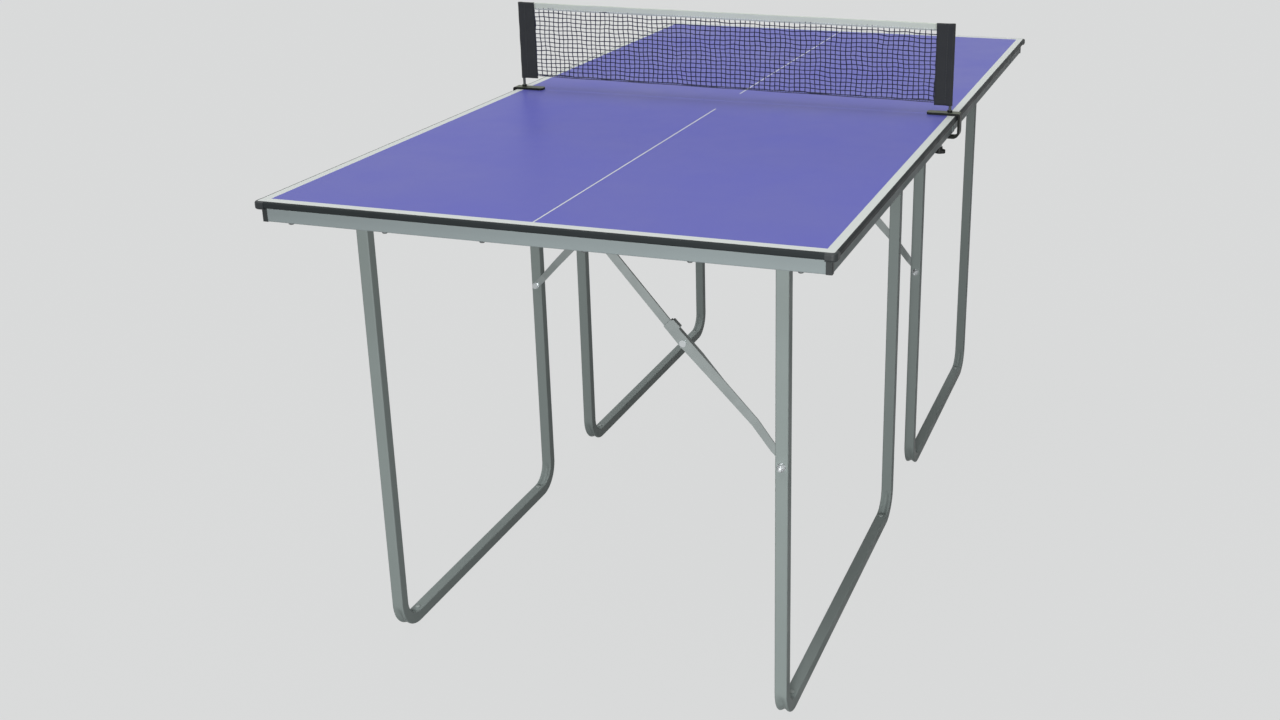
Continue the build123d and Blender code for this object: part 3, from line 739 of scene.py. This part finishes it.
@dataclass
class PressedTube:
    """The tube of one leg, with the walls of its two bends pressed in as bending leaves them."""

    node: str
    tube: float = 0.019
    radius: float = 0.044
    wall_zone: float = 0.0075
    flank: float = 0.0076
    inner_press: float = 0.0045
    outer_press: float = 0.0032
    post_fade: float = 0.40
    bar_fade: float = 0.11
    cuts: int = 18
    end_cuts: int = 5
    strips: int = 10

    def build(self, material: bpy.types.Material) -> bpy.types.Object:
        """Copy the tube and press both bends.

        Args:
            material: the tube's coat.

        Returns:
            The pressed tube.
        """
        work = copy_of(self.node)
        low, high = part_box(self.node)
        reach = self.tube / 2 + self.radius
        for post, way in ((low.y, 1), (high.y, -1)):
            centre = Vector(((low.x + high.x) / 2, post + way * reach, low.z + reach))
            self.cut(work, centre, way)
            self.press(work, centre, way)
        return even_shading(mesh_object(self.node + "_tube", work, material))

    def cut(self, work: bmesh.types.BMesh, centre: Vector, way: int) -> None:
        """Cut a bend into short lengths and narrow strips.

        Args:
            work: the tube.
            centre: the middle of the bend's arc.
            way: 1 where the foot bar runs towards +Y from the bend, -1 where it runs towards -Y.
        """
        turns = [math.pi / 2 * i / self.cuts for i in range(1, self.cuts)]
        turns += [math.pi / 2 - self.bar_fade * (i + 0.5) / self.end_cuts for i in range(self.end_cuts)]
        planes = [(centre, Vector((0.0, math.sin(turn), -way * math.cos(turn)))) for turn in turns]
        for i in range(self.strips + 1):
            side = self.flank * (2 * i / self.strips - 1)
            planes.append((centre + Vector((side, 0.0, 0.0)), Vector((1.0, 0.0, 0.0))))
        for spot, normal in planes:
            faces = [
                face
                for face in work.faces
                if all(way * (v.co.y - centre.y) < MERGE and v.co.z - centre.z < MERGE for v in face.verts)
            ]
            edges = dict.fromkeys(edge for face in faces for edge in face.edges)
            verts = dict.fromkeys(vert for face in faces for vert in face.verts)
            bend = [*verts, *edges, *faces]
            bmesh.ops.bisect_plane(work, geom=bend, dist=MERGE, plane_co=spot, plane_no=normal)

    def press(self, work: bmesh.types.BMesh, centre: Vector, way: int) -> None:
        """Press the inner and the outer wall of a bend into the tube.

        Args:
            work: the tube.
            centre: the middle of the bend's arc.
            way: 1 where the foot bar runs towards +Y from the bend, -1 where it runs towards -Y.
        """

        def ease(share: float) -> float:
            """A smooth rise from 0 to 1."""
            share = min(1.0, max(0.0, share))
            return share * share * (3 - 2 * share)

        for vert in work.verts:
            out, down = way * (centre.y - vert.co.y), centre.z - vert.co.z
            across = abs(vert.co.x - centre.x)
            far = math.hypot(out, down)
            if min(out, down) < 0 or across >= self.flank or abs(far - self.radius) < self.wall_zone:
                continue
            turn = math.atan2(down, out)
            share = math.cos(math.pi / 2 * across / self.flank) ** 2
            share *= ease(turn / self.post_fade) * ease((math.pi / 2 - turn) / self.bar_fade)
            depth = self.inner_press if far < self.radius else -self.outer_press
            grown = 1 + depth * share / far
            vert.co.y = centre.y - way * out * grown
            vert.co.z = centre.z - down * grown


class Pattern:
    """A Geometry Nodes tree that makes repeated pieces, used through one object at a time."""

    def __init__(self, name: str, inputs: Sequence[tuple[str, str]]) -> None:
        """Make the tree with its named inputs and a material input.

        Args:
            name: the tree's name.
            inputs: names and types of its own inputs.
        """
        self.name = name
        self.tree = bpy.data.node_groups.new(name, "GeometryNodeTree")
        shape = ("Geometry", "NodeSocketGeometry")
        self.sheet = NodeSheet(self.tree)
        self.sheet.declare("INPUT", (shape, *inputs, ("Material", "NodeSocketMaterial")))
        self.sheet.declare("OUTPUT", (shape,))
        self.given = self.sheet.add("NodeGroupInput").outputs

    def close(self, geometry: bpy.types.NodeSocket) -> None:
        """End the tree with realised instances and the material.

        Args:
            geometry: what the tree has made.
        """
        solid = self.sheet.add("GeometryNodeRealizeInstances", Geometry=geometry).outputs[0]
        smooth = self.sheet.add("GeometryNodeSetShadeSmooth", Geometry=solid).outputs[0]
        coated = self.sheet.add("GeometryNodeSetMaterial", Geometry=smooth, Material=self.given["Material"])
        self.sheet.add("NodeGroupOutput", Geometry=coated.outputs[0])

    def make(self, name: str, base: bpy.types.Mesh, **values: object) -> bpy.types.Object:
        """Run the tree and keep its result as a plain mesh.

        Args:
            name: the piece's name.
            base: the mesh the tree starts from.
            values: the tree's inputs by name, with spaces written as underscores.

        Returns:
            The piece, at the origin, with no modifier.
        """
        holder = linked(name + "_base", base)
        modifier = holder.modifiers.new(self.name, "NODES")
        modifier.node_group = self.tree
        labels = {
            item.name: item.identifier
            for item in self.tree.interface.items_tree
            if item.item_type == "SOCKET" and item.in_out == "INPUT"
        }
        for key, value in values.items():
            modifier[labels[key.replace("_", " ")]] = value
        mesh = baked(holder)
        mesh.name = name
        holder.modifiers.remove(modifier)
        bpy.data.objects.remove(holder)
        return linked(name, mesh)


def point_mesh(name: str, points: Sequence[Point]) -> bpy.types.Mesh:
    """Make a mesh of loose points for a tree to start from.

    Args:
        name: the mesh's name.
        points: where they lie.

    Returns:
        The mesh.
    """
    mesh = bpy.data.meshes.new(name)
    mesh.from_pydata([tuple(point) for point in points], [], [])
    return mesh


def stitch_pattern() -> Pattern:
    """The tree that lays a running stitch on each point it is given.

    Returns:
        The pattern, with inputs for the stitch's length, radius and turn.
    """
    pattern = Pattern(
        "running_stitch",
        [("Length", "NodeSocketFloat"), ("Radius", "NodeSocketFloat"), ("Turn", "NodeSocketVector")],
    )
    sheet, given = pattern.sheet, pattern.given
    thread = sheet.add("GeometryNodeMeshUVSphere", Segments=8, Rings=6, Radius=given["Radius"]).outputs["Mesh"]
    half = sheet.math("MULTIPLY", given["Length"], 0.5)
    stretch = sheet.math("DIVIDE", half, given["Radius"])
    size = sheet.add("ShaderNodeCombineXYZ", X=1.0, Y=1.0, Z=stretch).outputs["Vector"]
    placed = sheet.add(
        "GeometryNodeInstanceOnPoints",
        Points=given["Geometry"],
        Instance=thread,
        Rotation=given["Turn"],
        Scale=size,
    ).outputs["Instances"]
    pattern.close(placed)
    return pattern


def net_pattern() -> Pattern:
    """The tree that knots upright and level cords into a net.

    Returns:
        The pattern, with inputs for the net's size, mesh count, cord and slack.
    """
    number, whole = "NodeSocketFloat", "NodeSocketInt"
    pattern = Pattern(
        "knotted_net",
        [
            ("Width", number),
            ("Height", number),
            ("Middle", number),
            ("Columns", whole),
            ("Rows", whole),
            ("Cord", number),
            ("Knot", number),
            ("Slack", number),
        ],
    )
    sheet, given = pattern.sheet, pattern.given
    half_w = sheet.math("MULTIPLY", given["Width"], 0.5)
    half_h = sheet.math("MULTIPLY", given["Height"], 0.5)
    low_w = sheet.math("MULTIPLY", given["Width"], -0.5)
    low_h = sheet.math("MULTIPLY", given["Height"], -0.5)
    columns = sheet.math("ADD", given["Columns"], 1.0)
    rows = sheet.math("ADD", given["Rows"], 1.0)
    ring = sheet.add("GeometryNodeCurvePrimitiveCircle", Resolution=5, Radius=given["Cord"]).outputs["Curve"]

    def ends(axis: str, low: object, high: object) -> list[bpy.types.NodeSocket]:
        """The two ends of a line along an axis."""
        return [sheet.add("ShaderNodeCombineXYZ", **{axis: value}).outputs["Vector"] for value in (low, high)]

    def run(axis: str, low: object, high: object, steps: object) -> bpy.types.NodeSocket:
        """One straight cord along an axis.

        Args:
            axis: X or Z.
            low: where it starts.
            high: where it ends.
            steps: how many points it has.

        Returns:
            The cord's curve.
        """
        start, end = ends(axis, low, high)
        line = sheet.add("GeometryNodeCurvePrimitiveLine", Start=start, End=end).outputs["Curve"]
        return sheet.add("GeometryNodeResampleCurve", Curve=line, Count=steps).outputs["Curve"]

    def row_of(axis: str, low: object, high: object, count: object, cord: object) -> bpy.types.NodeSocket:
        """Cords at even places along an axis, as tubes.

        Args:
            axis: X or Z.
            low: place of the first.
            high: place of the last.
            count: how many there are.
            cord: the curve of one.

        Returns:
            The tubes.
        """
        start, end = ends(axis, low, high)
        places = sheet.add("GeometryNodeMeshLine", {"mode": "END_POINTS"}, Count=count, Start_Location=start)
        sheet.put(end, places.inputs["Offset"])
        laid = sheet.add("GeometryNodeInstanceOnPoints", Points=places.outputs["Mesh"], Instance=cord)
        loose = sheet.add("GeometryNodeRealizeInstances", Geometry=laid.outputs["Instances"]).outputs[0]
        return sheet.add("GeometryNodeCurveToMesh", Curve=loose, Profile_Curve=ring).outputs["Mesh"]

    upright = row_of("X", low_w, half_w, columns, run("Z", low_h, half_h, sheet.math("ADD", rows, rows)))
    level = row_of("Z", low_h, half_h, rows, run("X", low_w, half_w, sheet.math("ADD", columns, columns)))
    grid = sheet.add(
        "GeometryNodeMeshGrid",
        Size_X=given["Width"],
        Size_Y=given["Height"],
        Vertices_X=columns,
        Vertices_Y=rows,
    ).outputs["Mesh"]
    stood = sheet.add("GeometryNodeTransform", Geometry=grid, Rotation=(math.pi / 2, 0.0, 0.0)).outputs[0]
    ball = sheet.add("GeometryNodeMeshIcoSphere", Radius=given["Knot"], Subdivisions=1).outputs["Mesh"]
    knots = sheet.add("GeometryNodeInstanceOnPoints", Points=stood, Instance=ball).outputs["Instances"]
    knots = sheet.add("GeometryNodeRealizeInstances", Geometry=knots).outputs[0]
    join = sheet.add("GeometryNodeJoinGeometry")
    for piece in (upright, level, knots):
        sheet.put(piece, join.inputs[0])
    where = sheet.add("GeometryNodeInputPosition").outputs[0]
    drift = sheet.add("ShaderNodeVectorMath", {"operation": "SUBTRACT"})
    noise = sheet.add("ShaderNodeTexNoise", Vector=where, Scale=22.0, Detail=2.0).outputs["Color"]
    sheet.put(noise, drift.inputs[0])
    sheet.put((0.5, 0.5, 0.5), drift.inputs[1])
    push = sheet.add("ShaderNodeVectorMath", {"operation": "SCALE"})
    sheet.put(drift.outputs[0], push.inputs[0])
    sheet.put(given["Slack"], push.inputs["Scale"])
    shift = sheet.add("ShaderNodeCombineXYZ", Z=given["Middle"]).outputs["Vector"]
    total = sheet.add("ShaderNodeVectorMath", {"operation": "ADD"})
    sheet.put(push.outputs[0], total.inputs[0])
    sheet.put(shift, total.inputs[1])
    moved = sheet.add("GeometryNodeSetPosition", Geometry=join.outputs[0], Offset=total.outputs[0]).outputs[0]
    pattern.close(moved)
    return pattern


@dataclass
class HalfTable:
    """One half: board, band, caps, rails, brackets and fasteners."""

    half: Half
    finishes: Finishes

    @property
    def prefix(self) -> str:
        """The start of this half's node names."""
        return self.half.name.lower() + "_"

    def build(self) -> None:
        """Dress every node of the half."""
        table = {
            "top_board": BoardPaint(),
            "edge_band": BAND_PLASTIC,
            "corner_caps": CAP_PLASTIC,
            "right_rail": RAIL_COAT,
            "left_rail": RAIL_COAT,
            "end_rail": RAIL_COAT,
            "seam_rail": RAIL_COAT,
            "rail_screws": SCREW_BLACK,
            "leg_brackets": BRACKET_ZINC,
            "brace_brackets": BRACKET_ZINC,
            "pivot_bolts": BRIGHT_ZINC,
        }
        for name, finish in table.items():
            dress([self.prefix + name], self.finishes.of(finish))
        for leg in Leg:
            self.dress_leg(leg)

    def dress_leg(self, leg: Leg) -> None:
        """Dress one leg with its brace.

        Args:
            leg: which of the two.
        """
        start = self.prefix + leg.value + "_"
        look = self.finishes.of
        body, nut = start + "leg", start + "leg_nut"
        keep(PressedTube(body).build(look(LEG_COAT)), body, "leg_tube", body)
        keep(between(nut, start + "bolt_end", FOOT_TOP, CAD_HIGH.z, look(BRIGHT_ZINC)), body, "fastener", nut)
        # The rivets take a lighter copy of the leg coat, a painted highlight
        keep(between(nut, start + "foot_rivets", 0.0, FOOT_TOP, look(RIVET_LIT_COAT)), body, "fastener")
        dress([start + "upper_link", start + "lower_link"], look(LINK_ZINC))
        dress([start + "knuckle_rivet", start + "leg_bolt"], look(BRIGHT_ZINC))


@dataclass
class Sleeve:
    """One black sleeve, drawn round its post and flat towards the net."""

    side: Side
    low: Vector
    high: Vector
    width: float = 0.033
    flat: float = 0.0016
    steps: int = 48
    wrap: float = 0.62
    wrap_steps: int = 14
    flat_steps: int = 6
    flat_reach: float = 0.98
    ruck: float = 0.0005
    ruck_waves: float = 23.0
    hem_share: float = 0.05
    hem_swell: float = 1.07
    seam_inset: float = 0.013
    seam_margin: float = 0.004
    seam_lift: float = 0.0019

    def section(self, share: float) -> list[tuple[float, float]]:
        """The sleeve's outline at one height.

        Args:
            share: the height as a share of the sleeve's own.

        Returns:
            The points of the outline, on the right side of the net.
        """
        outer, bulge = self.high.x, self.high.y
        swell = self.hem_swell if min(share, 1 - share) < self.hem_share else 1.0
        ruck = self.ruck * math.sin(share * self.ruck_waves + self.side.value) * math.sin(share * math.pi)
        points = []
        for k in range(self.wrap_steps + 1):
            angle = math.pi * self.wrap * (2 * k / self.wrap_steps - 1)
            points.append((outer - bulge + bulge * math.cos(angle), bulge * math.sin(angle) * swell + ruck))
        tab = (self.width - 2 * bulge) * self.flat_reach
        there = range(1, self.flat_steps + 1)
        for face, order in ((1, there), (-1, reversed(there))):
            for k in order:
                reach = k / self.flat_steps
                points.append((outer - 2 * bulge - tab * reach, face * self.flat * swell + ruck * (1 - reach)))
        return points

    def build(self, cloth: bpy.types.Material) -> bpy.types.Object:
        """Skin the sleeve from its lower to its upper edge.

        Args:
            cloth: its material.

        Returns:
            The sleeve.
        """
        rings, lengths = [], []
        for i in range(self.steps + 1):
            share = i / self.steps
            length = (self.high.z - self.low.z) * share
            rings.append([(self.side.value * x, y, self.low.z + length) for x, y in self.section(share)])
            lengths.append(length)
        return loft("net_sleeve_" + self.side.name.lower(), rings, cloth, lengths)

    def seam(self, face: Face) -> tuple[Point, Point]:
        """Where the stitches of one face begin and end.

        Args:
            face: front or back.

        Returns:
            The two ends.
        """
        x = self.side.value * (self.high.x - self.seam_inset)
        y = face.value * self.seam_lift
        return (x, y, self.low.z + self.seam_margin), (x, y, self.high.z - self.seam_margin)


@dataclass
class NetSet:
    """The net between its posts, with its tape, hem, sleeves and clamps."""

    finishes: Finishes
    columns: int = 81
    rows: int = 16
    cord: float = 0.00085
    knot: float = 0.0015
    slack: float = 0.0085
    left_lift: float = 0.0052
    sweep_steps: int = 160
    ripple: float = 47.0
    tape_high: float = 0.0128
    tape_tuck: float = 0.002
    tape_fold_steps: int = 8
    tape_flanks: tuple[float, float] = (0.33, 0.66)
    tape_waist: float = 0.92
    tape_gap: float = 0.2
    tape_sway: float = 0.0004
    tape_sway_waves: tuple[float, float] = (31.0, 11.0)
    tape_sway_start: float = 0.6
    tape_bob: float = 0.4
    tape_seam_reach: float = 0.96
    tape_seam_rise: float = 0.0028
    tape_seam_margin: float = 0.004
    hem_cord: float = 0.0007
    hem_sides: int = 8
    hem_lift: float = 0.0020
    hem_wave: float = 0.0003
    hem_slant: float = 0.6
    hem_margin: float = 0.003
    stitch_step: float = 0.0050
    stitch_long: float = 0.0034
    stitch_thick: float = 0.00035
    body: str = "near_half"

    def build(self) -> None:
        """Make the soft pieces and dress the rigid ones."""
        parts = {
            "clamp": CLAMP_COAT,
            "clamp_screw": SCREW_ZINC,
            "clamp_knob": KNOB_PLASTIC,
            "clamp_pad": PAD_RUBBER,
        }
        dress(["net_posts"], self.finishes.of(POST_COAT))
        for part, finish in parts.items():
            dress([f"{side.name.lower()}_{part}" for side in Side], self.finishes.of(finish))
        self.stitches = stitch_pattern()
        self.netting()
        self.tape()
        self.hem()
        self.sleeves()

    def hang(self, piece: bpy.types.Object, slot: str, *nodes: str) -> bpy.types.Object:
        """Keep a soft piece, raised towards the left post as the net sits there.

        Args:
            piece: the piece, level.
            slot: the record's material slot.
            nodes: the CAD nodes it replaces.

        Returns:
            The piece.
        """
        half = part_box("net")[1].x
        for vertex in piece.data.vertices:
            vertex.co.z += self.left_lift * min(1.0, max(0.0, (half - vertex.co.x) / (2 * half)))
        return keep(piece, self.body, slot, *nodes)

    def netting(self) -> None:
        """The knotted net itself."""
        low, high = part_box("net")
        bottom = low.z - self.hem_cord + self.hem_lift
        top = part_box("net_top_tape")[1].z - self.tape_high + self.tape_tuck
        net = net_pattern().make(
            "netting",
            point_mesh("netting_base", [(0, 0, 0)]),
            Width=high.x - low.x,
            Height=top - bottom,
            Middle=(top + bottom) / 2,
            Columns=self.columns,
            Rows=self.rows,
            Cord=self.cord,
            Knot=self.knot,
            Slack=self.slack,
            Material=self.finishes.of(NET_CORD),
        )
        self.hang(net, "net", "net")

    def sweep(
        self, name: str, low: float, high: float, ring: Callable[[float], list[Point]], finish: Cloth
    ) -> bpy.types.Object:
        """Skin a ring of points from one sleeve to the other.

        Args:
            name: the piece's name.
            low: X of its left end.
            high: X of its right end.
            ring: gives the points at an X.
            finish: its cloth.

        Returns:
            The piece.
        """
        places = [low + (high - low) * i / self.sweep_steps for i in range(self.sweep_steps + 1)]
        return loft(name, [ring(x) for x in places], self.finishes.of(finish), [x - low for x in places])

    def row(
        self, name: str, start: Point, end: Point, turn: Point, finish: Finish, slot: str
    ) -> bpy.types.Object:
        """A row of running stitches.

        Args:
            name: the piece's name.
            start: first stitch.
            end: last stitch.
            turn: how each stitch is turned from upright.
            finish: the thread.
            slot: the record's material slot.

        Returns:
            The row.
        """
        a, b = Vector(start), Vector(end)
        count = max(2, round((b - a).length / self.stitch_step))
        spots = [tuple(a.lerp(b, (i + 0.5) / count)) for i in range(count)]
        made = self.stitches.make(
            name,
            point_mesh(name + "_spots", spots),
            Length=self.stitch_long,
            Radius=self.stitch_thick,
            Turn=turn,
            Material=self.finishes.of(finish),
        )
        return self.hang(made, slot)

    def tape_section(self, half: float, low: float, high: float) -> list[tuple[float, float]]:
        """The outline of the folded tape.

        Args:
            half: half its thickness.
            low: Z of its lower edge.
            high: Z of its fold.

        Returns:
            The Y and Z of each point, from the back over the fold to the front and along the lower edge.
        """
        turns = [math.pi * i / self.tape_fold_steps for i in range(self.tape_fold_steps + 1)]
        fold = [(half * math.cos(turn), high - half + half * math.sin(turn)) for turn in turns]
        back = [(half * self.tape_waist, low + (high - low) * share) for share in self.tape_flanks]
        front = [(-y, z) for y, z in reversed(back)]
        edge = [(half * share, low) for share in (-1.0, -self.tape_gap, self.tape_gap, 1.0)]
        return [*fold, *front, *edge, *back]

    def tape(self) -> None:
        """The white tape folded over the top cord, with its stitching."""
        low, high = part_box("net_top_tape")
        low.z = high.z - self.tape_high
        half = (high.y - low.y) / 2
        section = self.tape_section(half, low.z, high.z)

        def ring(x: float) -> list[Point]:
            """The tape at one place, with its sway and its bob, which is less along the lower edge.

            Args:
                x: the place along the net.

            Returns:
                The ring of points.
            """
            first, second = self.tape_sway_waves
            lean = self.tape_sway * math.sin(x * first + self.tape_sway_start) * math.sin(x * second)
            lift = self.tape_bob * self.tape_sway * math.sin(x * self.ripple)
            return [(x, y + lean, z + lift * (1 if z > low.z + half else self.tape_bob)) for y, z in section]

        tape = self.sweep("top_tape", low.x, high.x, ring, TAPE_CLOTH)
        self.hang(tape, "tape", "net_top_tape")
        for face in Face:
            y, z = face.value * half * self.tape_seam_reach, low.z + self.tape_seam_rise
            start, end = (low.x + self.tape_seam_margin, y, z), (high.x - self.tape_seam_margin, y, z)
            name = "tape_stitch_" + face.name.lower()
            self.row(name, start, end, (0, math.pi / 2, 0), STITCH_WHITE, "tape")

    def hem(self) -> None:
        """The two dark cords laced together along the bottom of the net."""
        low, high = (corner + Vector((0.0, 0.0, self.hem_lift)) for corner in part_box("net_bottom_hem"))
        lower = self.hem_line("hem_lower_cord", low.x, high.x, low.z + self.hem_cord)
        self.hang(lower, "hem", "net_bottom_hem")
        self.hang(self.hem_line("hem_upper_cord", low.x, high.x, high.z - self.hem_cord), "hem")
        middle = (low.z + high.z) / 2
        start, end = (low.x + self.hem_margin, 0.0, middle), (high.x - self.hem_margin, 0.0, middle)
        self.row("hem_lacing", start, end, (0, self.hem_slant, 0), NET_CORD, "hem")

    def hem_line(self, name: str, low: float, high: float, z: float) -> bpy.types.Object:
        """One cord of the hem, with a slight wave.

        Args:
            name: the piece's name.
            low: X of its left end.
            high: X of its right end.
            z: the height of the cord's middle.

        Returns:
            The cord.
        """
        turns = [math.tau * k / self.hem_sides for k in range(self.hem_sides)]
        circle = [(self.hem_cord * math.cos(turn), self.hem_cord * math.sin(turn)) for turn in turns]

        def ring(x: float) -> list[Point]:
            """The cord at one place."""
            middle = z + self.hem_wave * math.sin(x * self.ripple)
            return [(x, y, middle + rise) for y, rise in circle]

        return self.sweep(name, low, high, ring, HEM_CLOTH)

    def sleeves(self) -> None:
        """The two black sleeves that hold the net on its posts."""
        low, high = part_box("net_sleeves")
        for side in Side:
            sleeve = Sleeve(side, low, high)
            made = sleeve.build(self.finishes.of(SLEEVE_CLOTH))
            self.hang(made, "sleeve", *(["net_sleeves"] if side is Side.RIGHT else []))
            for face in Face:
                name = f"sleeve_stitch_{side.name.lower()}_{face.name.lower()}"
                self.row(name, *sleeve.seam(face), (0, 0, 0), STITCH_BLACK, "sleeve")


@dataclass
class Studio:
    """Pale floor, soft light and the camera."""

    azimuth: float = 17.947
    elevation: float = 20.097
    roll: float = -0.276
    eye: Point = (0.8607, -2.5668, 1.3200)
    focal: float = 1494.3
    centre: tuple[float, float] = (744.4, 321.9)
    picture: tuple[int, int] = (1280, 720)
    pale: Colour = linear(218, 219, 219)
    floor_colour: Colour = (0.10, 0.10, 0.10, 1.0)
    floor_glow: float = 1.12
    floor_shade: float = 0.13
    floor_half: float = 60.0
    floor_gap: float = 0.0005
    sky: float = 0.05
    above_energy: float = 2.95
    above_angle: float = 70.0
    above_spot: Point = (0.0, 0.0, 3.0)
    above_aim: Point = (0.18, 0.02, -1.0)
    front_energy: float = 80.0
    front_side: float = 0.6
    front_spot: Point = (0.85, -3.3, 0.9)
    front_target: Point = (0.0, 0.0, 0.45)
    sensor: float = 36.0
    view_end: float = 200.0

    def build(self) -> None:
        """Make the floor, the lights and the camera."""
        self.floor()
        self.lights()
        self.camera()

    @staticmethod
    def seen(sheet: NodeSheet) -> bpy.types.NodeSocket:
        """A socket that is 1 for what the camera sees, directly or mirrored, and 0 for what only lights.

        Args:
            sheet: the tree to add it to.

        Returns:
            The socket.
        """
        path = sheet.add("ShaderNodeLightPath").outputs
        mirrored = sheet.math("MAXIMUM", path["Is Glossy Ray"], path["Is Transmission Ray"])
        return sheet.math("MAXIMUM", path["Is Camera Ray"], mirrored)

    def floor(self) -> None:
        """A wide pale floor that keeps a faint shadow."""
        work = bmesh.new()
        bmesh.ops.create_grid(work, x_segments=1, y_segments=1, size=self.floor_half)
        material = bpy.data.materials.new("studio_floor")
        material.use_nodes = True
        sheet = NodeSheet(material.node_tree)
        shader = material.node_tree.nodes["Principled BSDF"]
        shader.inputs["Base Color"].default_value = self.floor_colour
        shader.inputs["Roughness"].default_value = 1.0
        shader.inputs["Specular IOR Level"].default_value = 0.0
        glow = sheet.add("ShaderNodeEmission", Color=self.pale, Strength=self.floor_glow)
        share = sheet.math("MULTIPLY", self.seen(sheet), 1 - self.floor_shade)
        mixed = sheet.add("ShaderNodeMixShader", Fac=share)
        sheet.put(shader.outputs["BSDF"], mixed.inputs[1])
        sheet.put(glow.outputs["Emission"], mixed.inputs[2])
        sheet.put(mixed.outputs["Shader"], material.node_tree.nodes["Material Output"].inputs["Surface"])
        made = mesh_object("studio_floor", work, material)
        made.location.z = -self.floor_gap

    def lights(self) -> None:
        """A broad lamp beside the camera, an even light from above and a weak surround."""
        scene = bpy.context.scene
        scene.view_settings.view_transform = "Standard"
        world = bpy.data.worlds.new("studio_world")
        scene.world = world
        world.use_nodes = True
        sheet = NodeSheet(world.node_tree)
        back = world.node_tree.nodes["Background"]
        back.inputs["Color"].default_value = self.pale
        strength = sheet.add("ShaderNodeMapRange", Value=self.seen(sheet), To_Min=self.sky, To_Max=1.0)
        sheet.put(strength.outputs["Result"], back.inputs["Strength"])
        above = bpy.data.lights.new("above", "SUN")
        above.energy = self.above_energy
        above.angle = math.radians(self.above_angle)
        self.place(above, Vector(self.above_spot), Vector(self.above_aim))
        front = bpy.data.lights.new("front", "AREA")
        front.size = self.front_side
        front.energy = self.front_energy
        spot = Vector(self.front_spot)
        self.place(front, spot, Vector(self.front_target) - spot)

    @staticmethod
    def place(lamp: bpy.types.Light, spot: Vector, aim: Vector) -> None:
        """Put a lamp in the scene.

        Args:
            lamp: its data.
            spot: where it stands.
            aim: the way it shines.
        """
        made = linked(lamp.name, lamp)
        made.location = spot
        made.rotation_euler = aim.to_track_quat("-Z", "Y").to_euler()

    def camera(self) -> None:
        """The camera at the photograph's place."""
        az, el, roll = (math.radians(v) for v in (self.azimuth, self.elevation, self.roll))
        back = Vector((math.sin(az) * math.cos(el), -math.cos(az) * math.cos(el), math.sin(el)))
        right = (-back).cross(Vector((0, 0, 1))).normalized()
        up = right.cross(-back)
        turned = right * math.cos(roll) + up * math.sin(roll)
        raised = up * math.cos(roll) - right * math.sin(roll)
        data = bpy.data.cameras.new("photo_camera")
        wide, tall = self.picture
        data.sensor_width = self.sensor
        data.lens = self.focal / wide * data.sensor_width
        data.shift_x = (wide / 2 - self.centre[0]) / wide
        data.shift_y = (self.centre[1] - tall / 2) / wide
        data.clip_end = self.view_end
        made = linked("photo_camera", data)
        basis = Matrix((turned, raised, back)).transposed().to_4x4()
        made.matrix_world = Matrix.Translation(self.eye) @ basis
        bpy.context.scene.camera = made


def main() -> None:
    """Dress the halves, make the net set and set up the studio."""
    logging.basicConfig(level=logging.INFO, format="%(message)s")
    finishes = Finishes()
    for half in Half:
        HalfTable(half, finishes).build()
    NetSet(finishes).build()
    Studio().build()


if __name__ == "__main__":
    main()
